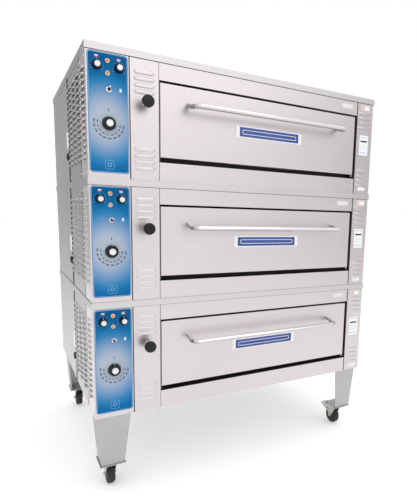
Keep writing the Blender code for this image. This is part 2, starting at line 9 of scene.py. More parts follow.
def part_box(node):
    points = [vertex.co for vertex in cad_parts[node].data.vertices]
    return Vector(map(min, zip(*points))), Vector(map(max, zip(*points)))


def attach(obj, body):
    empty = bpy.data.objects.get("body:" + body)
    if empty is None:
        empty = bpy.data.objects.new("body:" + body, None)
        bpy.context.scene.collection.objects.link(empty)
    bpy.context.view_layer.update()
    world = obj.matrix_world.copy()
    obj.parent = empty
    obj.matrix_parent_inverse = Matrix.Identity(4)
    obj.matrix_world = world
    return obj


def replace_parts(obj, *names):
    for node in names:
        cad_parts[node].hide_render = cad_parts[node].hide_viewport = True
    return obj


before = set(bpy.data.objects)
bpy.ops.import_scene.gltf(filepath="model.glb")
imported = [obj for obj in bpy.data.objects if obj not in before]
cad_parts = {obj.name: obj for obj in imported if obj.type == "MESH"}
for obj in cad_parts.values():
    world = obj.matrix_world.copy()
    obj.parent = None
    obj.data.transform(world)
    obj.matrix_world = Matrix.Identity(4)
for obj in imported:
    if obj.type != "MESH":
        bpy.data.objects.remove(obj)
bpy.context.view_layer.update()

DECKS = ("lower", "middle", "upper")
CORNERS = [f"{end}_{side}" for end in ("front", "rear") for side in ("left", "right")]
ROOT = "oven"

# Where things are, from the CAD nodes
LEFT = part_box("upper_control_panel")[0].x
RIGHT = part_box("upper_right_vent_panel")[1].x
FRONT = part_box("upper_door")[0].y
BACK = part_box("upper_casing")[1].y
BAND = 0.026  # height of the band along the top of each section
SECTION_TOP = {deck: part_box(f"{deck}_casing")[1].z for deck in DECKS}
SECTION_LOW = {deck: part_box(f"{deck}_door_frame")[0].z for deck in DECKS}

# The directions that are right, up and outward for someone facing each side of the oven
FACE = {
    "front": ((1, 0, 0), (0, 0, 1), (0, -1, 0)),
    "back": ((-1, 0, 0), (0, 0, 1), (0, 1, 0)),
    "left": ((0, -1, 0), (0, 0, 1), (-1, 0, 0)),
    "right": ((0, 1, 0), (0, 0, 1), (1, 0, 0)),
    "top": ((1, 0, 0), (0, 1, 0), (0, 0, 1)),
    "under": ((1, 0, 0), (0, -1, 0), (0, 0, -1)),
}


# ---- materials

# The printed field: how far out each colour comes, as a share of its half size, and the colour
FIELD_STOPS = (
    (0.0, (0.43, 0.49, 0.56)), (0.26, (0.36, 0.42, 0.52)), (0.37, (0.26, 0.355, 0.495)),
    (0.51, (0.13, 0.265, 0.465)), (0.64, (0.030, 0.195, 0.41)), (0.77, (0.005, 0.135, 0.34)),
    (1.0, (0.001, 0.095, 0.255)),
)
FIELD_GRAIN = (1500, 1500, 1500)
FIELD_ROUGH = (0.46, 0.56)
FIELD_SPECULAR = 0.06
# Painted shade on the handle: its shades, and the values of its normal between which one turns into the other
UNDERSIDE_PAINTED_SHADE = (0.42, 1.0, -0.9, 0.35)
FLANK_PAINTED_SHADE = (1.0, 0.50, 0.3, 0.9)
HANDLE_COLOR = (0.84, 0.82, 0.81)
HANDLE_GRAIN = (4, 300, 300)
HANDLE_ROUGH = (0.16, 0.24)
SHEET_GRAIN = (5, 5, 420)
LEG_GRAIN = (12, 12, 160)
PRINT_GRAIN = 700


class Finish:
    """A material with one shader, and the nodes that drive it."""

    def __init__(self, name):
        self.mat = bpy.data.materials.new(name)
        self.mat.use_nodes = True
        self.tree = self.mat.node_tree
        self.shader = self.tree.nodes["Principled BSDF"]

    def feed(self, node, *pairs):
        """Set inputs of a node, each by its name and a number or another node's output."""
        for key, value in pairs:
            if isinstance(value, bpy.types.NodeSocket):
                self.tree.links.new(value, node.inputs[key])
            else:
                node.inputs[key].default_value = value

    def node(self, kind, *pairs, operation=None):
        """The outputs of a new node with these inputs."""
        node = self.tree.nodes.new("ShaderNode" + kind)
        if operation:
            node.operation = operation
        self.feed(node, *pairs)
        return node.outputs

    def noise(self, scale, detail=4.0):
        """Noise in the piece's own coordinates, stretched by the scale."""
        at = self.node("Mapping", ("Vector", self.node("TexCoord")["Object"]), ("Scale", scale))["Vector"]
        return self.node("TexNoise", ("Vector", at), ("Scale", 1.0), ("Detail", detail))["Fac"]

    def spread(self, source, low, high, start=0.3, end=0.7):
        """The source, with start to end turned into low to high."""
        limits = (("From Min", start), ("From Max", end), ("To Min", low), ("To Max", high))
        return self.node("MapRange", ("Value", source), *limits)["Result"]

    def math(self, operation, a, b):
        """A math node on two values, each an output or a number."""
        return self.node("Math", (0, a), (1, b), operation=operation)[0]

    def tint(self, color, factor):
        """Drive the base colour by a colour times factor, a value that varies over the surface."""
        rgb = self.node("RGB")[0]
        rgb.default_value = (*color, 1)
        shade = self.node("VectorMath", (0, rgb), ("Scale", factor), operation="SCALE")[0]
        self.feed(self.shader, ("Base Color", shade))

    def relief(self, height, strength, distance):
        """Drive the normal by a height."""
        bump = self.node("Bump", ("Strength", strength), ("Distance", distance), ("Height", height))
        self.feed(self.shader, ("Normal", bump["Normal"]))


def surface(name, color, metallic, rough, grain, vary, rough_vary, bump, depth, clouds, cloud_scale,
            coat=0.0, specular=0.5):
    """A fine grain over broad clouds, in colour, roughness and bump."""
    finish = Finish(name)
    fine = finish.noise(grain if isinstance(grain, tuple) else (grain,) * 3)
    broad = finish.noise((cloud_scale,) * 3, 3.0)
    shade = finish.spread(fine, 1 - vary, 1 + vary)
    finish.tint(color, finish.math("MULTIPLY", shade, finish.spread(broad, 1 - clouds, 1 + clouds)))
    grainy = finish.spread(fine, rough - rough_vary, rough + rough_vary)
    smudge = finish.spread(broad, -rough_vary, rough_vary)
    finish.relief(fine, bump, depth)
    finish.feed(finish.shader, ("Roughness", finish.math("ADD", grainy, smudge)), ("Metallic", metallic),
                ("Coat Weight", coat), ("Specular IOR Level", specular))
    return finish.mat


def stainless(name, color, rough):
    """Sheet with a fine level grain."""
    return surface(name, color, 1.0, rough, SHEET_GRAIN, vary=0.018, rough_vary=0.03, bump=0.02, depth=0.0001,
                   clouds=0.03, cloud_scale=1.8)


def printed(name, color, rough=0.45, vary=0.03, clouds=0.02):
    """Printed film or paper."""
    return surface(name, color, 0.0, rough, PRINT_GRAIN, vary, rough_vary=0.04, bump=0.05, depth=0.0001,
                   clouds=clouds, cloud_scale=20)


def overlay_material(name, centre, half):
    """Printed film: deep blue at the ends, fading to a pale field round the dial."""
    finish = Finish(name)
    coords = finish.node("TexCoord")["Object"]
    moved = finish.node("VectorMath", (0, coords), (1, centre), operation="SUBTRACT")[0]
    per_half = (1 / half[0], 0, 1 / half[1])
    shares = finish.node("VectorMath", (0, moved), (1, per_half), operation="MULTIPLY")[0]
    out = finish.node("VectorMath", (0, shares), operation="LENGTH")["Value"]
    ramp = finish.tree.nodes.new("ShaderNodeValToRGB")
    while len(ramp.color_ramp.elements) < len(FIELD_STOPS):
        ramp.color_ramp.elements.new(0.5)
    for element, (position, color) in zip(ramp.color_ramp.elements, FIELD_STOPS):
        element.position = position
        element.color = (*color, 1)
    finish.feed(ramp, ("Fac", out))
    texture = finish.noise(FIELD_GRAIN, 2.0)
    finish.relief(texture, 0.15, 0.0001)
    finish.feed(finish.shader, ("Base Color", ramp.outputs["Color"]), ("Specular IOR Level", FIELD_SPECULAR),
                ("Roughness", finish.spread(texture, *FIELD_ROUGH)))
    return finish.mat


def handle_finish(name):
    """Bright bar steel with painted shade: darker underneath and on the flanks of its legs."""
    finish = Finish(name)
    split = finish.node("SeparateXYZ", (0, finish.node("TexCoord")["Normal"]))
    sideways = finish.math("ABSOLUTE", split["X"], 0)
    # painted shade: the colour darkens where the normal points down and where it points sideways
    shade = finish.math("MULTIPLY", finish.spread(split["Z"], *UNDERSIDE_PAINTED_SHADE),
                        finish.spread(sideways, *FLANK_PAINTED_SHADE))
    fine = finish.noise(HANDLE_GRAIN)
    finish.tint(HANDLE_COLOR, finish.math("MULTIPLY", shade, finish.spread(fine, 0.97, 1.03)))
    finish.feed(finish.shader, ("Roughness", finish.spread(fine, *HANDLE_ROUGH)), ("Metallic", 1.0))
    return finish.mat


STEEL = stainless("stainless_front", (0.63, 0.585, 0.59), 0.38)
SIDE_STEEL = stainless("stainless_side", (0.60, 0.58, 0.585), 0.42)
# a lighter copy of the side steel: painted highlight on the front strip of the control side
FLANGE_STEEL_PAINTED_HIGHLIGHT = stainless("stainless_flange_painted_highlight", (0.80, 0.775, 0.78), 0.38)
# the handle's steel, with painted shade underneath and on its legs' flanks
POLISHED_PAINTED_SHADE = handle_finish("stainless_handle")
# In the order that surface() takes them
LINER = surface("liner_sheet", (0.33, 0.31, 0.29), 0.9, 0.5, 40, 0.10, 0.06, 0.2, 0.0004, 0.16, 5)
ELEMENT = surface("element_sheath", (0.10, 0.095, 0.09), 0.6, 0.55, 300, 0.15, 0.08, 0.2, 0.0002, 0.2, 20)
CERAMIC = surface("fired_slab", (0.52, 0.43, 0.33), 0.0, 0.9, 140, 0.10, 0.05, 0.5, 0.0006, 0.10, 9)
BLACK = surface("black_phenolic", (0.007, 0.007, 0.008), 0.0, 0.28, 500, 0.2, 0.04, 0.05, 0.0001, 0.1, 40,
                specular=0.28)
MATT_BLACK = surface("dark_enamel", (0.006, 0.006, 0.006), 0.0, 0.7, 300, 0.2, 0.05, 0.1, 0.0002, 0.1, 8)
ROPE = surface("seal_fibre", (0.045, 0.043, 0.040), 0.0, 0.95, 160, 0.35, 0.03, 0.8, 0.001, 0.15, 30)
CAP = surface("silver_cap", (0.74, 0.74, 0.75), 0.35, 0.34, 400, 0.03, 0.04, 0.05, 0.0001, 0.03, 40)
CHROME = surface("bright_plate", (0.78, 0.78, 0.79), 1.0, 0.16, 300, 0.03, 0.03, 0.02, 0.0001, 0.03, 30)
LEG = surface("leg_sheet", (0.45, 0.445, 0.455), 0.75, 0.46, LEG_GRAIN, 0.03, 0.04, 0.06, 0.0002, 0.05, 4)
ZINC = surface("zinc_plate", (0.50, 0.53, 0.49), 1.0, 0.36, 120, 0.08, 0.06, 0.08, 0.0002, 0.12, 25)
RUBBER = surface("wheel_rubber", (0.012, 0.012, 0.012), 0.0, 0.62, 260, 0.25, 0.06, 0.25, 0.0003, 0.2, 30)
AMBER = surface("amber_lens", (0.78, 0.27, 0.015), 0.0, 0.18, 500, 0.05, 0.03, 0.02, 0.0001, 0.05, 60,
                coat=0.6)
PLATE_BLUE = surface("plate_blue", (0.018, 0.055, 0.27), 0.0, 0.3, 500, 0.05, 0.04, 0.05, 0.0001, 0.04, 15,
                     coat=0.3)
FILM = printed("label_film", (0.62, 0.60, 0.60), 0.5)
WHITE = printed("label_white", (0.80, 0.79, 0.78), 0.5)
PALE = printed("print_pale_blue", (0.40, 0.56, 0.76))
BORDER = printed("print_border_blue", (0.03, 0.17, 0.40), 0.42)
FAINT = printed("print_faint_blue", (0.20, 0.40, 0.62))
INK = printed("print_dark", (0.012, 0.015, 0.025), 0.5, 0.05, 0.03)
RED = printed("print_red", (0.62, 0.05, 0.05), 0.45, 0.05, 0.03)
PINK = printed("print_pink", (0.72, 0.42, 0.43), 0.5, 0.05, 0.03)


# ---- mesh making

BOLD = 0.035  # how much a numeral's strokes are thickened, as a share of its size
SHARP = 0.00002  # the radius of a corner that is meant to be square
SMOOTH_ANGLE = 35  # edges that turn less than this many degrees look rounded
# Radius and height of the rings of a pan head and of a nut, as shares of the radius or of the height
SCREW_RINGS = ((1, 0), (1, 0.25), (0.8, 0.5), (0.42, 0.58), (0.36, 0.22), (0, 0.2))
NUT_RINGS = ((1, 0), (1, 0.85), (0.88, 1), (0.5, 1), (0, 0.9))
# Along a louvre: the place as a share of its length, and how full the hood is there
LOUVER_STATIONS = (
    (-0.5, 0.04), (-0.47, 0.5), (-0.43, 0.85), (-0.37, 1.0),
    (0.37, 1.0), (0.43, 0.85), (0.47, 0.5), (0.5, 0.04),
)
# Across a louvre: down from its top or up from its foot, and out, as shares of its height and reach
LOUVER_CROWN = ((0, 0), (0.16, 0.72), (0.34, 1.0))
LOUVER_LIP = ((0.06, 1.0), (0, 0.88))
LOUVER_WALL = 0.0008
LIP_REACH = 0.70
THROAT_UP, THROAT_OUT = 0.22, 0.00005


class Build:
    """One mesh under construction. Materials are named as they are used."""

    def __init__(self):
        self.bm = bmesh.new()
        self.mats = []

    def index(self, mat):
        """The slot of a material, added when it is new."""
        if mat not in self.mats:
            self.mats.append(mat)
        return self.mats.index(mat)

    def faces(self, loops, mat):
        """Faces in one material, from loops of vertices."""
        i = self.index(mat)
        for loop in loops:
            face = self.bm.faces.new(loop)
            face.material_index = i

    def at(self, place, points):
        """Vertices at (right, up, outward) points of a place."""
        return [self.bm.verts.new(place @ Vector(p)) for p in points]

    def bridge(self, rings, mat, closed=False):
        """Faces between each ring of vertices and the next, and back to the first when closed."""
        for a, b in zip(rings, rings[1:] + rings[:1] if closed else rings[1:]):
            n = len(a)
            self.faces([(a[i], a[(i + 1) % n], b[(i + 1) % n], b[i]) for i in range(n)], mat)

    def plate(self, place, u0, u1, v0, v1, w0, w1, mat, radius=0.0, chamfer=0.0, steps=4):
        """A plate in the (u, v) plane from w0 out to w1, with rounded corners and a chamfered face."""
        rect = (u0, u1, v0, v1)
        loops = [outline(*rect, radius, w0, steps), outline(*rect, radius, w1 - chamfer, steps)]
        if chamfer:
            loops.append(outline(*grow(rect, -chamfer), max(radius - chamfer, 0), w1, steps))
        rings = [self.at(place, loop) for loop in loops]
        self.bridge(rings, mat)
        self.faces([list(reversed(rings[0])), rings[-1]], mat)

    def frame(self, place, outer, inner, w0, w1, mat, radius=0.0, inner_radius=0.0, chamfer=0.0):
        """A flat ring between two rectangles, each (u0, u1, v0, v1)."""
        rings = []
        face = grow(outer, -chamfer)
        for rect, r, w in ((outer, radius, w0), (outer, radius, w1 - chamfer), (face, radius, w1),
                           (inner, inner_radius, w1), (inner, inner_radius, w0)):
            rings.append(self.at(place, outline(*rect, max(r, SHARP), w, 4)))
        self.bridge(rings, mat, closed=True)

    def lathe(self, place, profile, mat, sides=24):
        """A turned form about the place's outward axis, from (radius, distance) points."""
        rings = []
        for radius, w in profile:
            count = 1 if radius == 0 else sides
            ring = []
            for i in range(count):
                angle = 2 * math.pi * i / sides
                ring.append((radius * math.cos(angle), radius * math.sin(angle), w))
            rings.append(self.at(place, ring))
        loops = []
        for a, b in zip(rings, rings[1:]):
            for i in range(sides):
                j = (i + 1) % sides
                loop = [a[i % len(a)], a[j % len(a)], b[j % len(b)], b[i % len(b)]]
                loops.append(list(dict.fromkeys(loop)))
        for ring in (rings[0], rings[-1]):
            if len(ring) > 1:
                loops.append(ring)
        self.faces(loops, mat)

    def bar(self, place, points_a, points_b, mat):
        """A closed bar between two loops of the same number of points."""
        a, b = self.at(place, points_a), self.at(place, points_b)
        self.bridge([a, b], mat)
        self.faces([list(reversed(a)), b], mat)

    def ribs(self, place, count, r0, w0, r1, w1, width, height, mat, skip=()):
        """Grip ribs up a tapered skirt, from (r0, w0) to (r1, w1)."""
        for i in range(count):
            if i in skip:
                continue
            turn = place @ Matrix.Rotation(2 * math.pi * i / count, 4, "Z")
            low = rib_end(r0, w0, height, height, width / 2, 0.7)
            high = rib_end(r1, w1, height, height * 0.8, width / 2, 0.6)
            self.bar(turn, low, high, mat)

    def screw(self, place, radius):
        """A pan head with a round drive recess."""
        self.lathe(place, [(radius * r, radius * w) for r, w in SCREW_RINGS], CHROME, 14)

    def hex_nut(self, place, radius, height):
        """A hexagon nut with a chamfered top."""
        self.lathe(place, [(radius * r, height * w) for r, w in NUT_RINGS], ZINC, 6)

    def louver(self, place, length, height, out, mat):
        """A pressed hood with round ends, and a dark opening under its lip. The place is its lower middle."""
        rows = []
        for share, full in LOUVER_STATIONS:
            u, reach = share * length, out * full
            top, low = height * (0.5 + 0.5 * full), height * (0.5 - 0.5 * full)
            points = [(u, top - height * full * down, reach * r) for down, r in LOUVER_CROWN]
            points += [(u, low + height * full * up, reach * r) for up, r in LOUVER_LIP]
            points.append((u, low + LOUVER_WALL * full, reach * LIP_REACH))
            points.append((u, low + height * full * THROAT_UP, THROAT_OUT))
            rows.append(self.at(place, points))
        outer, dark = [], []
        for a, b in zip(rows, rows[1:]):
            outer += [(a[i], b[i], b[i + 1], a[i + 1]) for i in range(5)]
            dark.append((a[5], b[5], b[6], a[6]))
        self.faces(outer, mat)
        self.faces(dark, MATT_BLACK)

    def text(self, place, words, size, mat):
        """Flat numerals, centred."""
        curve = bpy.data.curves.new("numeral", "FONT")
        curve.body = words
        curve.size = size
        curve.offset = size * BOLD
        curve.align_x = "CENTER"
        curve.align_y = "CENTER"
        curve.resolution_u = 2
        holder = bpy.data.objects.new("numeral", curve)
        mesh = bpy.data.meshes.new_from_object(holder)
        base = len(self.bm.verts)
        self.bm.from_mesh(mesh)
        self.bm.verts.ensure_lookup_table()
        for vert in self.bm.verts[base:]:
            vert.co = place @ vert.co
        self.bm.faces.ensure_lookup_table()
        i = self.index(mat)
        for face in self.bm.faces[-len(mesh.polygons):]:
            face.material_index = i
        bpy.data.objects.remove(holder)
        bpy.data.meshes.remove(mesh)
        bpy.data.curves.remove(curve)

    def done(self, name, body, slot, smooth_angle=SMOOTH_ANGLE):
        """Turn the mesh into a piece that rides on a body of the record."""
        bmesh.ops.recalc_face_normals(self.bm, faces=self.bm.faces)
        limit = math.radians(smooth_angle)
        for edge in self.bm.edges:
            edge.smooth = len(edge.link_faces) == 2 and edge.calc_face_angle(0) < limit
        for face in self.bm.faces:
            face.smooth = True
        mesh = bpy.data.meshes.new(name)
        self.bm.to_mesh(mesh)
        self.bm.free()
        for mat in self.mats:
            mesh.materials.append(mat)
        obj = add(name, mesh)
        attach(obj, body)
        return obj


def rib_end(radius, w, inward, outward, half, narrow):
    """The four corners of one end of a grip rib, narrower outside by the share narrow."""
    low, high = radius - inward, radius + outward
    return [(low, -half, w), (high, -half * narrow, w), (high, half * narrow, w), (low, half, w)]


def outline(u0, u1, v0, v1, radius, w, steps):
    """The corners of a rectangle, or the points along its rounded corners."""
    if radius <= 0:
        return [(u0, v0, w), (u1, v0, w), (u1, v1, w), (u0, v1, w)]
    points = []
    for cu, cv, start in ((u1 - radius, v0 + radius, -90), (u1 - radius, v1 - radius, 0),
                          (u0 + radius, v1 - radius, 90), (u0 + radius, v0 + radius, 180)):
        for i in range(steps + 1):
            angle = math.radians(start + 90 * i / steps)
            points.append((cu + radius * math.cos(angle), cv + radius * math.sin(angle), w))
    return points


def place(face, x, y, z):
    """A frame at (x, y, z) whose axes are the right, up and outward directions of that side."""
    u, v, w = (Vector(axis) for axis in FACE[face])
    matrix = Matrix((u, v, w)).transposed().to_4x4()
    matrix.translation = (x, y, z)
    return matrix


def on_front(x, z, out=0.0):
    """A frame on the plane of the front, or out from it."""
    return place("front", x, FRONT - out, z)


def add(name, data):
    """A new object in the scene."""
    obj = bpy.data.objects.new(name, data)
    bpy.context.scene.collection.objects.link(obj)
    return obj


def middle(node):
    """The middle of a CAD node's box."""
    low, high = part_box(node)
    return (low + high) / 2


def grow(rect, by):
    """A rectangle (u0, u1, v0, v1) with each side moved out by the same amount."""
    return rect[0] - by, rect[1] + by, rect[2] - by, rect[3] + by


def around(u, v, half):
    """The square (u0, u1, v0, v1) about a point."""
    return u - half, u + half, v - half, v + half


def shift(rect, u, v):
    """A rectangle (u0, u1, v0, v1) moved by u and v."""
    return rect[0] + u, rect[1] + u, rect[2] + v, rect[3] + v


def tube(name, points, radius, mat, body):
    """A round tube or rod along points in world coordinates."""
    curve = bpy.data.curves.new(name, "CURVE")
    curve.dimensions = "3D"
    curve.bevel_depth = radius
    curve.bevel_resolution = 3
    curve.use_fill_caps = True
    spline = curve.splines.new("POLY")
    spline.points.add(len(points) - 1)
    for target, point in zip(spline.points, points):
        target.co = (*point, 1)
    curve.materials.append(mat)
    obj = add(name, curve)
    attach(obj, body)
    return obj


# ---- finishes on the CAD nodes

FINISH = {
    "casing": SIDE_STEEL, "chamber": LINER, "top_element": ELEMENT, "hearth": CERAMIC, "door_frame": STEEL,
    "door": STEEL, "door_handle": POLISHED_PAINTED_SHADE, "control_panel": STEEL, "left_vent_panel": STEEL,
    "right_vent_panel": STEEL, "top_heat_knob": BLACK, "bottom_heat_knob": BLACK, "thermostat_knob": BLACK,
    "power_toggle": CHROME, "damper_knob": BLACK,
}
for corner in CORNERS:
    for part, mat in (("leg", LEG), ("caster_fork", ZINC), ("wheel", RUBBER), ("brake_lever", ZINC)):
        FINISH[f"{corner}_{part}"] = mat
for name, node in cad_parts.items():
    key = name if name in FINISH else name.split("_", 1)[1]
    node.data.materials.clear()
    node.data.materials.append(FINISH[key])


# ---- control panel

# The overlay: across from the oven's left side, and down from the band
OVERLAY_X = (0.005, 0.153)
OVERLAY_DOWN = (0.4415, 0.004)
OVERLAY_CORNER = 0.012
FRONT_PLANE = on_front(0, 0)
FILM_BACK, FILM_FACE, FIELD_FACE = 0.0001, 0.0003, 0.00045
PRINT_BACK, PRINT_FACE, PRINT_OVER = 0.0004, 0.0006, 0.0007
LINE_IN, LINE_INNER, FIELD_IN = 0.0030, 0.0039, 0.0045
LINE_CORNERS, FIELD_CORNER = (0.010, 0.0091), 0.0085
FIELD_SHIFT = (-0.010, 0.006)  # the middle of the pale field, from the dial
FIELD_HALF = (0.19, 0.223)
MARK_COUNT, MARK_LONG_EVERY = 11, 5
MARK_START, MARK_STEP = -120, 24
MARK_RING, MARK_R, MARK_LONG_R = 0.0235, 0.0011, 0.0017
EMBLEM_UP = 0.031
EMBLEM = ((0.017, 0.0011, (0.005, 0.004)), (0.008, 0.0020, (0.008, 0.006)))  # half size, line and corners
TAG, TAG_SPOT = (0.120, 0.129, -0.008, 0.006), (0.1225, 0.1265, -0.004, 0.003)
STICKER, STICKER_PITCH = (-0.0065, 0.0065, 0.0320, 0.0362), 0.0045

# Arcs of numbers: radius, size and values
DIAL_ARCS = (
    (0.0550, 0.0090, (200, 250, 300, 350, 400, 450, 500, 550, 600, 650)),
    (0.0420, 0.0078, (100, 130, 160, 180, 210, 240, 270, 300, 320)),
)
DIAL_START, DIAL_SWEEP = 172, 180
TICKS = 18
TICK = (0.0300, 0.0345, -0.0004, 0.0004)
POINTER = ((-0.0022, 0.046), (0.0022, 0.046), (0.0006, 0.056), (-0.0006, 0.056))

# Turned parts are given as (radius, distance out)
PILOT_X = 0.078
PILOT_DOWN = (0.0576, 0.1018)
PILOT_BEZEL = ((0.0062, 0.0004), (0.0085, 0.0004), (0.0087, 0.0022), (0.0078, 0.0032), (0.0066, 0.0030),
               (0.0062, 0.0018))
PILOT_LENS = ((0.0062, -0.004), (0.0062, 0.0026), (0.0054, 0.0052), (0.0046, 0.0050), (0.0038, 0.0066),
              (0.0018, 0.0074), (0, 0.0076))

# Knobs: radius and top of the skirt, radius and front of the cap, number of ribs
HEAT_KNOB = (0.017, 0.019, 0.0095, 0.025, 20)
THERMO_KNOB = (0.026, 0.015, 0.0120, 0.0235, 28)
CAP_PROUD = 0.0004
CAP_FOOT = ((-0.0004, 0.0014), (0.0006, 0.0016), (0.0002, 0.0030))
CAP_CROWN = ((0, -0.0002), (-0.0009, 0.0007), (-0.0032, 0.0008), (-0.0036, 0.0003))
CAP_DISH = 0.0004
CAP_LINE_HALF, CAP_LINE_START, CAP_LINE_SHORT, CAP_LINE_W = 0.0004, 0.45, 0.0010, (0.0002, 0.0010)
SKIRT_LOW = 0.0034
SKIRT_TAPER, SKIRT_SHORT = 0.0025, 0.001
RIB_WIDTH, RIB_HEIGHT, RIB_SINK = 0.0022, 0.0005, 0.0004
STRIPE = ((-0.0010, -0.0008), (0.0004, -0.0008), (0.0004, 0.0008), (-0.0010, 0.0008))
STRIPE_LOW, STRIPE_SHORT, STRIPE_LEAN = 0.0032, 0.0004, 0.0022

TOGGLE_X, TOGGLE_DOWN = 0.081, 0.160
TOGGLE_WASHER = ((0.0070, 0.0005), (0.0100, 0.0005), (0.0102, 0.0012), (0.0070, 0.0014))
TOGGLE_NUT = ((0.0071, 0.0014), (0.0094, 0.0014), (0.0096, 0.0040), (0.0088, 0.0050), (0.0071, 0.0050))
TOGGLE_LIP = ((0.0048, 0.0101), (0.0066, 0.0101), (0.0066, 0.0106), (0.0048, 0.0106))
TOGGLE_RING = ((0.0071, 0.0056), (0.0084, 0.0056), (0.0084, 0.0080), (0.0078, 0.0088), (0.0071, 0.0088))

DAMPER_HOLE = 0.0068
DAMPER_GRIP = (24, 0.0232, 0.0440, 0.0232, 0.0570, 0.0028, 0.0006)  # as for Build.ribs
DAMPER_SLEEVE = ((0.0051, -0.0360), (0.0055, -0.0360), (0.0055, 0.0396), (0.0051, 0.0396))
DAMPER_BUTTON = ((0.0085, 0.0638), (0.0088, 0.0642), (0.0072, 0.0648), (0.0068, 0.0640), (0, 0.0641))
DAMPER_COLLAR = ((0.0062, 0.0004), (0.0100, 0.0004), (0.0100, 0.0016), (0.0092, 0.0024), (0.0064, 0.0024))


def overlay(deck):
    """The printed film, with its marks, emblem and stickers."""
    top = SECTION_TOP[deck] - BAND
    film = (LEFT + OVERLAY_X[0], LEFT + OVERLAY_X[1], top - OVERLAY_DOWN[0], top - OVERLAY_DOWN[1])
    dial = middle(f"{deck}_thermostat_knob")
    centre = (dial.x + FIELD_SHIFT[0], FRONT, dial.z + FIELD_SHIFT[1])
    field = overlay_material(f"{deck}_overlay_print", centre, FIELD_HALF)
    build = Build()
    build.plate(FRONT_PLANE, *film, FILM_BACK, FILM_FACE, BORDER, OVERLAY_CORNER, 0, 6)
    build.frame(FRONT_PLANE, grow(film, -LINE_IN), grow(film, -LINE_INNER), FILM_FACE, FIELD_FACE, PALE,
                *LINE_CORNERS)
    build.plate(FRONT_PLANE, *grow(film, -FIELD_IN), FILM_FACE, FIELD_FACE, field, FIELD_CORNER, 0, 6)
    for use, colors in (("top", (WHITE, RED)), ("bottom", (RED, WHITE))):
        knob = middle(f"{deck}_{use}_heat_knob")
        heat_marks(build, knob)
        for row, mat in enumerate(colors):
            rect = shift(STICKER, knob.x, knob.z - STICKER_PITCH * row)
            build.plate(FRONT_PLANE, *rect, PRINT_BACK, PRINT_FACE, mat, 0.0006)
    numerals(build, dial)
    emblem = (dial.x, film[2] + EMBLEM_UP)
    for half, line, corners in EMBLEM:
        build.frame(FRONT_PLANE, around(*emblem, half), around(*emblem, half - line), PRINT_BACK, PRINT_FACE,
                    FAINT, *corners)
    toggle_z = middle(f"{deck}_power_toggle").z
    build.plate(FRONT_PLANE, *shift(TAG, LEFT, toggle_z), PRINT_BACK, PRINT_FACE, PALE, 0.001)
    build.plate(FRONT_PLANE, *shift(TAG_SPOT, LEFT, toggle_z), PRINT_FACE, PRINT_OVER, WHITE)
    build.done(f"{deck}_control_overlay", ROOT, "blue_overlay")


def heat_marks(build, knob):
    """The ring of printed dots round a heat knob."""
    for i in range(MARK_COUNT):
        angle = math.radians(MARK_START + MARK_STEP * i)
        at = on_front(knob.x + MARK_RING * math.sin(angle), knob.z + MARK_RING * math.cos(angle))
        radius = MARK_R if i % MARK_LONG_EVERY else MARK_LONG_R
        build.lathe(at, ((radius, PRINT_BACK), (radius, PRINT_FACE), (0, PRINT_FACE)), FAINT, 10)


def numerals(build, dial):
    """Temperature marks round the thermostat: one arc of numbers outside another."""
    for radius, size, values in DIAL_ARCS:
        for i, value in enumerate(values):
            angle = math.radians(DIAL_START + DIAL_SWEEP * i / (len(values) - 1))
            at = on_front(dial.x + radius * math.cos(angle), dial.z + radius * math.sin(angle), PRINT_FACE)
            build.text(at @ Matrix.Rotation(angle - math.pi * 1.5, 4, "Z"), str(value), size, INK)
    centre = on_front(dial.x, dial.z)
    for i in range(TICKS + 1):
        turn = centre @ Matrix.Rotation(math.radians(DIAL_START + DIAL_SWEEP * i / TICKS), 4, "Z")
        build.plate(turn, *TICK, FIELD_FACE, PRINT_FACE, INK)
    build.bar(centre, [(u, v, PRINT_BACK) for u, v in POINTER], [(u, v, PRINT_FACE) for u, v in POINTER], INK)


def pilots(deck):
    """The two pilot lamps, each a lens in a bezel."""
    build = Build()
    for down in PILOT_DOWN:
        at = on_front(LEFT + PILOT_X, SECTION_TOP[deck] - down)
        build.lathe(at, PILOT_BEZEL, CHROME, 28)
        build.lathe(at, PILOT_LENS, AMBER, 24)
    build.done(f"{deck}_pilot_lamps", ROOT, "amber_lens")


def knob_trim(node, skirt_radius, skirt_top, cap_radius, cap_front, rib_count):
    """A metal-look cap, a pointer line and grip ribs on a CAD knob."""
    centre = middle(node)
    at = on_front(centre.x, centre.z)
    build = Build()
    radius = cap_radius + CAP_PROUD
    profile = [(radius + out, skirt_top + up) for out, up in CAP_FOOT]
    profile += [(radius + out, cap_front + up) for out, up in CAP_CROWN]
    build.lathe(at, profile + [(0, cap_front + CAP_DISH)], CAP, 32)
    build.plate(at, -CAP_LINE_HALF, CAP_LINE_HALF, radius * CAP_LINE_START, radius - CAP_LINE_SHORT,
                cap_front + CAP_LINE_W[0], cap_front + CAP_LINE_W[1], INK)
    build.ribs(at, rib_count, skirt_radius - RIB_SINK, SKIRT_LOW, skirt_radius - SKIRT_TAPER,
               skirt_top - SKIRT_SHORT, RIB_WIDTH, RIB_HEIGHT, BLACK, (rib_count // 4,))
    up = at @ Matrix.Rotation(math.pi / 2, 4, "Z")
    build.bar(up, [(skirt_radius + a, b, STRIPE_LOW) for a, b in STRIPE],
              [(skirt_radius + a - STRIPE_LEAN, b, skirt_top - STRIPE_SHORT) for a, b in STRIPE], WHITE)
    build.done(f"{node}_trim", node, "silver_cap")


def toggle_trim(deck):
    """The washer, nut and rings round the power toggle."""
    at = on_front(LEFT + TOGGLE_X, SECTION_TOP[deck] - TOGGLE_DOWN)
    build = Build()
    build.lathe(at, TOGGLE_WASHER, CHROME, 28)
    build.lathe(at, TOGGLE_NUT, CHROME, 6)
    build.lathe(at, TOGGLE_LIP, MATT_BLACK, 20)
    build.lathe(at, TOGGLE_RING, CHROME, 20)
    build.done(f"{deck}_toggle_nut", ROOT, "chrome")


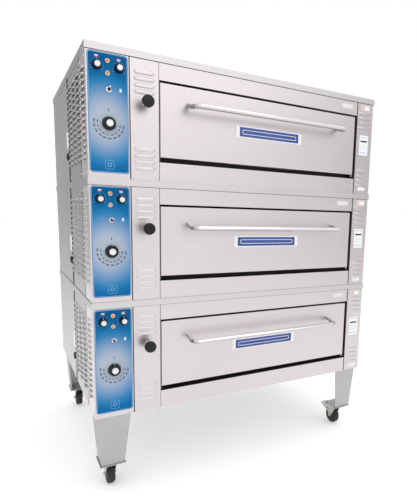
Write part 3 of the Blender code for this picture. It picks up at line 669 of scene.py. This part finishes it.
def damper_trim(deck):
    """Grip ribs, a rod sleeve and a button on the damper knob, and the fixed collar."""
    centre = middle(f"{deck}_damper_knob")
    at = on_front(centre.x, centre.z)
    build = Build()
    build.ribs(at, *DAMPER_GRIP, BLACK)
    build.lathe(at, DAMPER_SLEEVE, CHROME, 24)
    build.lathe(at, DAMPER_BUTTON, BLACK, 28)
    build.done(f"{deck}_damper_trim", f"{deck}_damper", "black_plastic")
    ring = Build()
    ring.lathe(at, DAMPER_COLLAR, CHROME, 28)
    ring.done(f"{deck}_damper_collar", ROOT, "chrome")


# ---- front details

FLUSH = 0.0002  # how far outside a sheet a screw or plate sits
VENT_SCREW_IN, VENT_SCREW_LOW, VENT_SCREW_DOWN, VENT_SCREW_R = 0.012, 0.014, 0.012, 0.0022
FRAME_SCREW_IN, FRAME_SCREW_UP, COVER_SCREW_R = 0.014, 0.040, 0.0036
LABEL_BACK, LABEL_THICK, MARK_THICK, LABEL_CORNER = 0.0003, 0.0004, 0.0001, 0.0012

# Labels as (u0, u1, v0, v1), and their marks as shares of the label with an ink
HEADER_LABEL = (-0.105, -0.030, -0.040, -0.016)  # from the door frame's right edge and the band
HEADER_MARKS = ((0.06, 0.92, 0.62, 0.74, WHITE), (0.06, 0.92, 0.30, 0.40, WHITE))
CORNER_LABEL = (-0.029, 0.029, -0.036, -0.008)  # from the right vent's middle and the band
CORNER_MARKS = ((0.08, 0.34, 0.15, 0.85, PINK), (0.42, 0.94, 0.20, 0.70, WHITE))
TALL_LABEL = (-0.030, 0.030, -0.288, -0.186)  # from the right vent's middle and the section's top
TALL_MARKS = (
    (0.1, 0.9, 0.88, 0.93, PALE), (0.12, 0.88, 0.66, 0.74, INK), (0.1, 0.9, 0.50, 0.52, PALE),
    (0.1, 0.9, 0.42, 0.44, PALE), (0.1, 0.9, 0.34, 0.36, PALE), (0.1, 0.7, 0.26, 0.28, PALE),
    (0.1, 0.9, 0.10, 0.16, PALE),
)
FOOT_LABEL = (-0.025, 0.023, 0.018, 0.034)  # from the right vent's middle and the section's foot
FOOT_MARKS = ((0.1, 0.8, 0.4, 0.55, PALE),)

SEAM_HALVES = (0.0021, 0.0009, 0.0026)  # left vent, door frame's left and right edges
FRAME_GAP = 0.001
BAND_LINE, BAND_GAP = 0.0012, 0.0006
HINGE_IN, HINGE_UP = 0.014, 0.007  # in from the front, and up from the door's foot
EAR_IN, EAR_OUT = 0.0047, 0.0085
# The dark caps over the hinge ears are painted shade: their outline about the ear, and how far back they
# reach
EAR_PAINTED_SHADE = (-0.0052, 0.0052, -0.0076, 0.0044)
EAR_DEPTH = -0.017

VENT_GROUPS = (0.066, 0.358)  # down from the section's top
VENT_ROWS, VENT_PITCH, VENT_FOOT = 4, 0.0245, 0.0168
VENT_LENGTH = {"left": 0.083, "right": 0.076}
VENT_H, VENT_OUT = 0.0150, 0.0034
PANEL_BACK, PANEL_EDGE = -0.002, 0.0003
HOLE_ROUND = 0.98

PLATE_DOWN = 0.1475
PLATE_HALF = (0.1755, 0.0255)
PLATE_BACK, PLATE_FACE, WHITE_FACE, BLUE_FACE, LINE_FACE = 0.0003, 0.0015, 0.0018, 0.0021, 0.0023
WHITE_IN = 0.0015
BLUE_IN = (0.018, 0.0050)
OUTLINE_IN, OUTLINE_HALF_H, OUTLINE_WIDTH = 0.032, 0.0095, 0.0022
PLATE_SCREW_IN, PLATE_SCREW_R = 0.0100, 0.0032

FRAME_LIFT = 0.0003
POCKET_IN = 0.0018
POCKET_Z = (0.0765, 0.3950)
POCKET_BACK = 0.008
# The pocket's dark sheet is painted shade: its thickness, how far short of the front it stops, and the roof's
# shorter reach
SHADE_SHEET, SHADE_SHEET_SHORT, ROOF_SHORT = 0.0006, 0.0015, 0.014
MOUTH_IN = 0.0245
MOUTH_Z = (0.1076, 0.3746)
ROPE_R, ROPE_STEPS, ROPE_OUT, ROPE_CORNER = 0.0011, 8, 0.0017, 0.012
ROPE_GROW = (0.008, 0.006)

ELEMENT_UP, ELEMENT_START, ELEMENT_PITCH, ELEMENT_ROWS = 0.022, 0.10, 0.155, 6
ELEMENT_IN, ELEMENT_R, ELEMENT_BEND = 0.09, 0.0045, 0.05
BULB_UP, BULB_R = 0.285, 0.0035
BULB_PATH = ((0.012, 0.30, 0), (0.012, 0.46, 0), (0.004, 0.50, 0.01))
CLIP_Y = (0.34, 0.42)
CLIP_WALL = 0.0025
CLIP = (-0.006, 0.006, -0.010, 0.010)
CLIP_OUT = 0.0135


def plain_label(build, rect, marks, mat):
    """A label with plain bars where the words would be."""
    face = LABEL_BACK + LABEL_THICK
    build.plate(FRONT_PLANE, *rect, LABEL_BACK, face, mat, LABEL_CORNER)
    u, v = rect[0], rect[2]
    wide, high = rect[1] - u, rect[3] - v
    for u0, u1, v0, v1, ink in marks:
        bar = (u + wide * u0, u + wide * u1, v + high * v0, v + high * v1)
        build.plate(FRONT_PLANE, *bar, face, face + MARK_THICK, ink)


def front_details(deck):
    """The screws and labels of the front panels."""
    top, low = SECTION_TOP[deck], SECTION_LOW[deck]
    left_vent, right_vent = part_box(f"{deck}_left_vent_panel"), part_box(f"{deck}_right_vent_panel")
    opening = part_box(f"{deck}_door_frame")
    screws = Build()
    for z in (low + VENT_SCREW_LOW, top - BAND - VENT_SCREW_DOWN):
        for box in (left_vent, right_vent):
            for x in (box[0].x + VENT_SCREW_IN, box[1].x - VENT_SCREW_IN):
                screws.screw(on_front(x, z, FLUSH), VENT_SCREW_R)
    for x in (opening[0].x + FRAME_SCREW_IN, opening[1].x - FRAME_SCREW_IN):
        screws.screw(on_front(x, low + FRAME_SCREW_UP, FLUSH), COVER_SCREW_R)
    screws.done(f"{deck}_front_screws", ROOT, "chrome", smooth_angle=30)
    labels = Build()
    mid = (right_vent[0].x + right_vent[1].x) / 2
    plain_label(labels, shift(HEADER_LABEL, opening[1].x, top - BAND), HEADER_MARKS, FILM)
    plain_label(labels, shift(CORNER_LABEL, mid, top - BAND), CORNER_MARKS, FILM)
    plain_label(labels, shift(TALL_LABEL, mid, top), TALL_MARKS, WHITE)
    plain_label(labels, shift(FOOT_LABEL, mid, low), FOOT_MARKS, WHITE)
    labels.done(f"{deck}_labels", ROOT, "label_film")


def seams(deck):
    """Dark joints between the upright front panels, and dark caps over the door's hinge ears, which are
    painted shade.
    """
    low, top = SECTION_LOW[deck] + FRAME_GAP, SECTION_TOP[deck] - BAND - BAND_GAP
    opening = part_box(f"{deck}_door_frame")
    joints = (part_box(f"{deck}_left_vent_panel")[0].x, opening[0].x, opening[1].x + FRAME_GAP)
    build = Build()
    for x, half in zip(joints, SEAM_HALVES):
        build.plate(FRONT_PLANE, x - half, x + half, low, top, FILM_BACK, FILM_FACE, MATT_BLACK)
    build.plate(FRONT_PLANE, LEFT + FRAME_GAP, RIGHT - FRAME_GAP, top - BAND_LINE, top, FILM_BACK, FILM_FACE,
                MATT_BLACK)
    build.done(f"{deck}_panel_seams", ROOT, "seal_fibre")
    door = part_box(f"{deck}_door")
    # painted shade: black caps hide the hinge ears in the dark gap by the door's foot
    covers = Build()
    for x in (door[0].x + EAR_IN, door[1].x - EAR_IN):
        at = on_front(x, door[0].z + HINGE_UP, EAR_OUT - HINGE_IN)
        covers.plate(at, *EAR_PAINTED_SHADE, EAR_DEPTH, 0.0, MATT_BLACK, 0.0004)
    covers.done(f"{deck}_hinge_ear_painted_shade", f"{deck}_door", "seal_fibre")


def vent_cover(deck, side):
    """A vent panel with pressed, round-ended louvres, in place of the plain CAD one."""
    node = f"{deck}_{side}_vent_panel"
    low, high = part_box(node)
    sheet = (low.x, high.x, low.z, high.z)
    build = Build()
    if side == "left":
        rod = middle(f"{deck}_damper_knob")
        build.frame(FRONT_PLANE, sheet, around(rod.x, rod.z, DAMPER_HOLE), PANEL_BACK, 0, STEEL, 0,
                    DAMPER_HOLE * HOLE_ROUND, PANEL_EDGE)
    else:
        build.plate(FRONT_PLANE, *sheet, PANEL_BACK, 0, STEEL, 0, PANEL_EDGE)
    for group in VENT_GROUPS:
        for row in range(VENT_ROWS):
            z = SECTION_TOP[deck] - group - VENT_PITCH * row - VENT_FOOT
            build.louver(on_front((low.x + high.x) / 2, z), VENT_LENGTH[side], VENT_H, VENT_OUT, STEEL)
    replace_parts(build.done(f"{deck}_{side}_vent_cover", ROOT, "stainless"), node)


def nameplate(deck):
    """A blank plate: pale border, blue field, plain outline."""
    low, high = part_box(f"{deck}_door")
    mid, z = (low.x + high.x) / 2, high.z - PLATE_DOWN
    half_w, half_h = PLATE_HALF
    plate = (mid - half_w, mid + half_w, z - half_h, z + half_h)
    blue = (plate[0] + BLUE_IN[0], plate[1] - BLUE_IN[0], plate[2] + BLUE_IN[1], plate[3] - BLUE_IN[1])
    line = (plate[0] + OUTLINE_IN, plate[1] - OUTLINE_IN, z - OUTLINE_HALF_H, z + OUTLINE_HALF_H)
    build = Build()
    build.plate(FRONT_PLANE, *plate, PLATE_BACK, PLATE_FACE, CAP, 0.004, 0.0004)
    build.plate(FRONT_PLANE, *grow(plate, -WHITE_IN), PLATE_FACE, WHITE_FACE, WHITE, 0.0030)
    build.plate(FRONT_PLANE, *blue, WHITE_FACE, BLUE_FACE, PLATE_BLUE, 0.0020)
    build.frame(FRONT_PLANE, line, grow(line, -OUTLINE_WIDTH), BLUE_FACE, LINE_FACE, WHITE, 0.006, 0.0040)
    for x in (plate[0] + PLATE_SCREW_IN, plate[1] - PLATE_SCREW_IN):
        build.screw(on_front(x, z, WHITE_FACE), PLATE_SCREW_R)
    build.done(f"{deck}_nameplate", f"{deck}_door", "blue_overlay")


def mouth_seal(deck):
    """Painted shade: a dark sheet in the door's pocket, and the fibre rope round the mouth."""
    low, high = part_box(f"{deck}_door_frame")
    base = low.z - FRAME_LIFT
    x0, x1 = low.x + POCKET_IN, high.x - POCKET_IN
    z0, z1 = base + POCKET_Z[0], base + POCKET_Z[1]
    ring_y = high.y - POCKET_BACK
    mouth = (x0 + MOUTH_IN, x1 - MOUTH_IN, base + MOUTH_Z[0], base + MOUTH_Z[1])
    back = place("front", 0, ring_y - FLUSH, 0)
    build = Build()
    # painted shade: a black ring and edges that make the gaps round the door look deep and dark
    build.frame(back, (x0, x1, z0, z1), mouth, 0.0, SHADE_SHEET, MATT_BLACK)
    edges = (((x0, x1, z0, z0 + SHADE_SHEET), SHADE_SHEET_SHORT), ((x0, x1, z1 - SHADE_SHEET, z1), ROOF_SHORT),
             ((x0, x0 + SHADE_SHEET, z0, z1), SHADE_SHEET_SHORT), ((x1 - SHADE_SHEET, x1, z0, z1), SHADE_SHEET_SHORT))
    for rect, short in edges:
        build.plate(back, *rect, SHADE_SHEET, ring_y - FRONT - short, MATT_BLACK)
    build.done(f"{deck}_pocket_painted_shade", ROOT, "seal_fibre")
    rope = Build()
    at = place("front", 0, ring_y - ROPE_OUT, 0)
    rings = []
    for i in range(ROPE_STEPS):
        angle = 2 * math.pi * i / ROPE_STEPS
        wider, out = ROPE_R * math.cos(angle), ROPE_R * math.sin(angle)
        by_u, by_v = ROPE_GROW[0] + wider, ROPE_GROW[1] + wider
        loop = (mouth[0] - by_u, mouth[1] + by_u, mouth[2] - by_v, mouth[3] + by_v)
        rings.append(rope.at(at, outline(*loop, ROPE_CORNER + wider, out, 4)))
    rope.bridge(rings, ROPE, closed=True)
    rope.done(f"{deck}_mouth_seal", ROOT, "seal_fibre")


def rounded(points, radius):
    """The points with each corner turned into a curve."""
    path = [points[0]]
    for a, b, c in zip(points, points[1:], points[2:]):
        a, b, c = Vector(a), Vector(b), Vector(c)
        enter, leave = b + (a - b).normalized() * radius, b + (c - b).normalized() * radius
        for t in (0, 0.25, 0.5, 0.75, 1):
            path.append((1 - t) ** 2 * enter + 2 * t * (1 - t) * b + t * t * leave)
    return path + [points[-1]]


def inside(deck):
    """The lower heating element and the thermostat's sensing bulb."""
    low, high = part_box(f"{deck}_chamber")
    ends = (low.x + ELEMENT_IN, high.x - ELEMENT_IN)
    points = []
    for i in range(ELEMENT_ROWS):
        for x in ends if i % 2 == 0 else reversed(ends):
            points.append((x, low.y + ELEMENT_START + ELEMENT_PITCH * i, low.z + ELEMENT_UP))
    tube(f"{deck}_bottom_element", rounded(points, ELEMENT_BEND), ELEMENT_R, ELEMENT, ROOT)
    bulb_z = low.z + BULB_UP
    bulb = [(low.x + x, low.y + y, bulb_z + z) for x, y, z in BULB_PATH]
    tube(f"{deck}_sensing_bulb", bulb, BULB_R, CHROME, ROOT)
    clips = Build()
    for y in CLIP_Y:
        at = place("right", low.x + CLIP_WALL, low.y + y, bulb_z)
        clips.plate(at, *CLIP, 0, CLIP_OUT, LINER, 0.003, 0.0008)
    clips.done(f"{deck}_bulb_clips", ROOT, "liner_steel")


# ---- sides and back

SEAM_1, SEAM_2 = 0.145, 0.490  # depths of the two upright seams on the left side
SEAM_HALF = 0.0012
SEAM_PROUD = (0.0018, 0.0040)
SKIN, SKIN_EDGE = 0.0009, 0.0004
SHEET_IN, SHEET_LOW, SHEET_DOWN = 0.0016, 0.0015, 0.0012
LOUVER_ROWS, LOUVER_PITCH, LOUVER_START = 15, 0.0236, 0.062
LOUVER_SIZE = (0.070, 0.0122, 0.0074)
FLANGE_COLUMN, FIRST_COLUMN, COLUMN_PITCH = 0.078, 0.0605, 0.112
PLUG_BACK, PLUG_DOWN = 0.034, 0.342
PLUG = ((0.0175, 0.0001), (0.0180, 0.0030), (0.0150, 0.0075), (0.0100, 0.0090), (0.0060, 0.0084), (0, 0.0080))
# From the second seam backwards, and from the band upwards
TAB, TAB_THICK = (0.002, 0.020, -0.420, -0.398), 0.0012
SIDE_LABEL, LABEL_THIN = (0.012, 0.085, -0.300, -0.225), 0.0003
SIDE_SCREW_BACK = (0.022, SEAM_1 - 0.014, SEAM_1 + 0.016, SEAM_2 - 0.016, SEAM_2 + 0.016)
REAR_SCREW_IN, SIDE_SCREW_IN = 0.018, 0.020

RIGHT_SEAM = (0.5455, 0.5475)
BACK_SEAM = (0.300, 0.302)
BACK_IN = 0.003
RIGHT_SCREW_IN, BACK_SCREW_IN, BACK_SCREW_UP = 0.018, 0.016, 0.018
BACK_COLUMNS, BACK_COLUMN, BACK_COLUMN_PITCH = 2, 0.095, 0.115
BACK_ROWS, BACK_START = 9, 0.060
BACK_LOUVER = (0.088, 0.0115, 0.0055)
BOX_X, BOX_UP, BOX_OUT = 0.150, 0.105, 0.0220
BOX = (-0.050, 0.050, -0.045, 0.045)
BOX_SCREWS = ((-0.040, -0.035), (-0.040, 0.035), (0.040, -0.035), (0.040, 0.035))
GLAND_OUT, GLAND_UP = 0.0112, 0.060
GLAND = ((0.0085, 0), (0.0105, 0.0004), (0.0105, 0.006), (0.0085, 0.007), (0.0085, 0.016), (0.0065, 0.020),
         (0.0045, 0.020), (0.0045, 0.012), (0, 0.012))


def cover_screws(build, face, out, places, heights):
    """Screws in a cover, at each place along it and at each height."""
    for along in places:
        for z in heights:
            x, y = (along, out) if face == "back" else (out, along)
            build.screw(place(face, x, y, z), COVER_SCREW_R)


def side_cover(deck):
    """The louvred covers on the control side."""
    top, low = SECTION_TOP[deck] - BAND, SECTION_LOW[deck]
    z0, z1 = low + SHEET_LOW, top - SHEET_DOWN
    left = place("left", LEFT, 0, 0)
    depth = BACK - FRONT
    build = Build()

    def strip(near, far, foot, head, back, face, mat, *edges):
        """A plate between two depths behind the front."""
        build.plate(left, -(FRONT + far), -(FRONT + near), foot, head, back, face, mat, *edges)

    # the front strip and its column of louvres are in the lighter steel, a painted highlight
    strip(SHEET_IN, SEAM_1 - SEAM_HALF, z0, z1, FLUSH, SKIN, FLANGE_STEEL_PAINTED_HIGHLIGHT, 0, SKIN_EDGE)
    strip(SEAM_1 + SEAM_HALF, SEAM_2 - SEAM_HALF, z0, z1, FLUSH, SKIN, SIDE_STEEL, 0, SKIN_EDGE)
    strip(SEAM_2 + SEAM_HALF, depth - SHEET_IN, z0, z1, FLUSH, SKIN, SIDE_STEEL, 0, SKIN_EDGE)
    for seam, proud in zip((SEAM_1, SEAM_2), SEAM_PROUD):
        strip(seam - SEAM_HALF, seam + SEAM_HALF, z0, z1, FILM_BACK, proud, MATT_BLACK)
    columns = [(FLANGE_COLUMN, FLANGE_STEEL_PAINTED_HIGHLIGHT)]
    columns += [(SEAM_1 + FIRST_COLUMN + COLUMN_PITCH * i, SIDE_STEEL) for i in range(3)]
    for back, mat in columns:
        for row in range(LOUVER_ROWS):
            at = place("left", LEFT - SKIN, FRONT + back, top - LOUVER_START - LOUVER_PITCH * row)
            build.louver(at, *LOUVER_SIZE, mat)
    plug = place("left", LEFT - SKIN, FRONT + SEAM_2 + PLUG_BACK, top - PLUG_DOWN)
    build.lathe(plug, PLUG, BLACK, 32)
    strip(*shift(TAB, SEAM_2, top), SKIN, SKIN + TAB_THICK, MATT_BLACK, 0.003)
    strip(*shift(SIDE_LABEL, SEAM_2, top), SKIN, SKIN + LABEL_THIN, WHITE, 0.002)
    build.done(f"{deck}_left_side_cover", ROOT, "stainless")
    screws = Build()
    places = [FRONT + back for back in (*SIDE_SCREW_BACK, depth - REAR_SCREW_IN)]
    cover_screws(screws, "left", LEFT - SKIN, places, (top - SIDE_SCREW_IN, low + SIDE_SCREW_IN))
    screws.done(f"{deck}_left_side_screws", ROOT, "chrome")


def plain_covers(deck):
    """The right side and the back: flat covers held by screws, a vent group and the cable entry."""
    top, low = SECTION_TOP[deck] - BAND, SECTION_LOW[deck]
    z0, z1 = low + SHEET_LOW, top - SHEET_DOWN
    build, screws = Build(), Build()
    right = place("right", RIGHT, 0, 0)
    for a, b in ((FRONT + SHEET_IN, FRONT + RIGHT_SEAM[0]), (FRONT + RIGHT_SEAM[1], BACK - SHEET_IN)):
        build.plate(right, a, b, z0, z1, FLUSH, SKIN, SIDE_STEEL, 0, SKIN_EDGE)
        cover_screws(screws, "right", RIGHT + SKIN, (a + RIGHT_SCREW_IN, (a + b) / 2, b - RIGHT_SCREW_IN),
                     (z0 + RIGHT_SCREW_IN, z1 - RIGHT_SCREW_IN))
    back = place("back", 0, BACK, 0)
    foot, head = low + BACK_IN, top + BAND - BACK_IN
    for a, b in ((LEFT + BACK_IN, LEFT + BACK_SEAM[0]), (LEFT + BACK_SEAM[1], RIGHT - BACK_IN)):
        build.plate(back, -b, -a, foot, head, FLUSH, SKIN, SIDE_STEEL, 0, SKIN_EDGE)
        cover_screws(screws, "back", BACK + SKIN, (a + BACK_SCREW_IN, (a + b) / 2, b - BACK_SCREW_IN),
                     (low + BACK_SCREW_UP, top + BAND - BACK_SCREW_UP))
    for column in range(BACK_COLUMNS):
        for row in range(BACK_ROWS):
            at = place("back", LEFT + BACK_COLUMN + BACK_COLUMN_PITCH * column, BACK + SKIN,
                       top - BACK_START - LOUVER_PITCH * row)
            build.louver(at, *BACK_LOUVER, SIDE_STEEL)
    build.done(f"{deck}_rear_and_right_covers", ROOT, "stainless")
    at = place("back", LEFT + BOX_X, BACK + SKIN, low + BOX_UP)
    screws.plate(at, *BOX, FILM_BACK, BOX_OUT, SIDE_STEEL, 0.006, 0.0015)
    for u, v in BOX_SCREWS:
        screws.screw(at @ Matrix.Translation((u, v, BOX_OUT)), PLATE_SCREW_R)
    gland = place("under", LEFT + BOX_X, BACK + SKIN + GLAND_OUT, low + GLAND_UP)
    screws.lathe(gland, GLAND, MATT_BLACK, 24)
    screws.done(f"{deck}_cover_screws_and_gland", ROOT, "chrome")


# ---- stand

TRAIL = 0.032  # how far a wheel's axle is behind the swivel's axis
BOLT_SPREAD, BOLT_R, BOLT_H, NUT_H = 0.040, 0.0062, 0.0042, 0.0055
PLATE_GAP, PLATE_TOP = 0.0001, 0.0035  # of the caster's plate, up from its top
RACE = ((0.0271, 0.0004), (0.0305, 0.0010), (0.0312, 0.0050), (0.0285, 0.0078), (0.0271, 0.0078))
CHEEK_OUT = 0.0217
AXLE_WASHER = ((0.0095, 0.0001), (0.0095, 0.0010), (0.0060, 0.0012))
AXLE_NUT_R, AXLE_NUT_H, WASHER_TOP = 0.0072, 0.0052, 0.0011
HUB_OUT, SPOKES = 0.016, 6
HUB = ((0.0050, 0.0001), (0.0105, 0.0001), (0.0110, 0.0016), (0.0070, 0.0019), (0.0050, 0.0019))
RIM = ((0.0315, 0.0001), (0.0338, 0.0001), (0.0334, 0.0010), (0.0319, 0.0010))
SPOKE = (0.0115, 0.0312, -0.0011, 0.0011)
SPOKE_FACE = 0.0008


def stand_details(corner):
    """Plate bolts, the swivel race and axle nuts, and the wheel's hub with its spokes."""
    wheel = middle(f"{corner}_wheel")
    plate_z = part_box(f"{corner}_caster_fork")[1].z
    x, y = wheel.x, wheel.y - TRAIL
    build = Build()
    for du in (-BOLT_SPREAD, BOLT_SPREAD):
        for dv in (-BOLT_SPREAD, BOLT_SPREAD):
            build.hex_nut(place("under", x + du, y + dv, plate_z + PLATE_GAP), BOLT_R, BOLT_H)
            build.hex_nut(place("top", x + du, y + dv, plate_z + PLATE_TOP), BOLT_R, NUT_H)
    build.done(f"{corner}_plate_bolts", ROOT, "zinc")
    swivel, hub = Build(), Build()
    swivel.lathe(place("under", x, y, plate_z), RACE, ZINC, 32)
    for face, s in (("left", -1), ("right", 1)):
        nut = place(face, wheel.x + s * CHEEK_OUT, wheel.y, wheel.z)
        swivel.lathe(nut, AXLE_WASHER, ZINC, 20)
        swivel.hex_nut(nut @ Matrix.Translation((0, 0, WASHER_TOP)), AXLE_NUT_R, AXLE_NUT_H)
        disc = place(face, wheel.x + s * HUB_OUT, wheel.y, wheel.z)
        hub.lathe(disc, HUB, ZINC, 24)
        hub.lathe(disc, RIM, RUBBER, 36)
        for i in range(SPOKES):
            turn = disc @ Matrix.Rotation(2 * math.pi * i / SPOKES, 4, "Z")
            hub.plate(turn, *SPOKE, FILM_BACK, SPOKE_FACE, RUBBER, 0.0008)
    swivel.done(f"{corner}_caster_trim", f"{corner}_caster", "zinc")
    hub.done(f"{corner}_wheel_hub", f"{corner}_wheel", "black_rubber")


for deck in DECKS:
    overlay(deck)
    pilots(deck)
    toggle_trim(deck)
    for use in ("top", "bottom"):
        knob_trim(f"{deck}_{use}_heat_knob", *HEAT_KNOB)
    knob_trim(f"{deck}_thermostat_knob", *THERMO_KNOB)
    damper_trim(deck)
    front_details(deck)
    seams(deck)
    vent_cover(deck, "left")
    vent_cover(deck, "right")
    nameplate(deck)
    mouth_seal(deck)
    inside(deck)
    side_cover(deck)
    plain_covers(deck)
for corner in CORNERS:
    stand_details(corner)


# ---- studio

FLOOR_HALF, FLOOR_COLOR, FLOOR_GLOW = 30, (0.90, 0.90, 0.90), 0.25
# Dark flags that only show as reflections in the steel: place, aim, half width, half height and shade
FLAGS = (
    ("flag_left", (-4.2, 2.6, 1.6), (-0.7, 0.3, 1.2), 3.4, 2.6, 0.10),
    ("flag_right", (4.6, -2.9, 1.7), (0.6, -0.4, 1.2), 1.5, 1.5, 0.45),
)
# Area lights: place, aim, size, power and colour
LIGHTS = (
    ("key", (1.0, -4.7, 4.0), (0.0, -0.4, 1.1), 4.0, 34, (1.0, 0.985, 0.97)),
    ("over", (0.0, -0.8, 4.4), (0, 0, 0), 2.4, 20, (1, 1, 1)),
)
CAMERA_PLACE = (-1.00413, -2.32679, 1.21962)
CAMERA_TURN = (-31.1001, -8.336, -1.6898)  # yaw, pitch and roll in degrees
CAMERA_LENS = 31.977
CAMERA_SHIFT = (-0.12, 0.056)


def card(name, half_w, half_h, mat):
    """A flat rectangle in the studio."""
    bm = bmesh.new()
    bmesh.ops.create_grid(bm, x_segments=2, y_segments=2, size=1)
    bmesh.ops.scale(bm, vec=(half_w, half_h, 1), verts=bm.verts)
    mesh = bpy.data.meshes.new(name)
    bm.to_mesh(mesh)
    bm.free()
    mesh.materials.append(mat)
    return add(name, mesh)


def aim(obj, location, target):
    """Put an object at a location with its -Z side towards the target."""
    obj.location = location
    obj.rotation_euler = (Vector(target) - Vector(location)).to_track_quat("-Z", "Y").to_euler()


def studio():
    """The floor, the even surroundings, the flags and the lights."""
    finish = Finish("studio_floor")
    finish.tint(FLOOR_COLOR, finish.spread(finish.noise((1.5, 1.5, 1.5)), 0.995, 1.0))
    finish.feed(finish.shader, ("Roughness", 0.9), ("Emission Color", (1, 1, 1, 1)),
                ("Emission Strength", FLOOR_GLOW))
    floor = card("studio_floor", FLOOR_HALF, FLOOR_HALF, finish.mat)

    world = bpy.data.worlds.new("studio")
    bpy.context.scene.world = world
    world.use_nodes = True
    background = world.node_tree.nodes["Background"]
    background.inputs["Color"].default_value = (1, 1, 1, 1)
    background.inputs["Strength"].default_value = 1.0

    for name, location, target, half_w, half_h, grey in FLAGS:
        finish = Finish(name)
        finish.tint((grey, grey, grey), finish.spread(finish.noise((0.4, 0.4, 0.4)), 0.9, 1.1))
        finish.feed(finish.shader, ("Roughness", 1.0))
        flag = card(name, half_w, half_h, finish.mat)
        aim(flag, location, target)
        flag.visible_camera = flag.visible_diffuse = flag.visible_shadow = False

    for name, location, target, size, power, color in LIGHTS:
        data = bpy.data.lights.new(name, "AREA")
        data.shape = "SQUARE"
        data.size = size
        data.energy = power
        data.color = color
        aim(add(name, data), location, target)


def camera():
    """The camera, at the front left of the oven."""
    data = bpy.data.cameras.new("camera")
    data.sensor_width = 36
    data.lens = CAMERA_LENS
    data.shift_x, data.shift_y = CAMERA_SHIFT
    data.clip_end = 100
    yaw, pitch, roll = (math.radians(angle) for angle in CAMERA_TURN)
    turn = Matrix.Rotation(yaw, 3, "Z") @ Matrix.Rotation(pitch, 3, "X") @ Matrix.Rotation(roll, 3, "Y")
    right, forward, up = turn.col
    view = Matrix((right, up, -forward)).transposed().to_4x4()
    view.translation = CAMERA_PLACE
    obj = add("camera", data)
    obj.matrix_world = view
    bpy.context.scene.camera = obj


studio()
camera()
bpy.context.scene.view_settings.view_transform = "Standard"
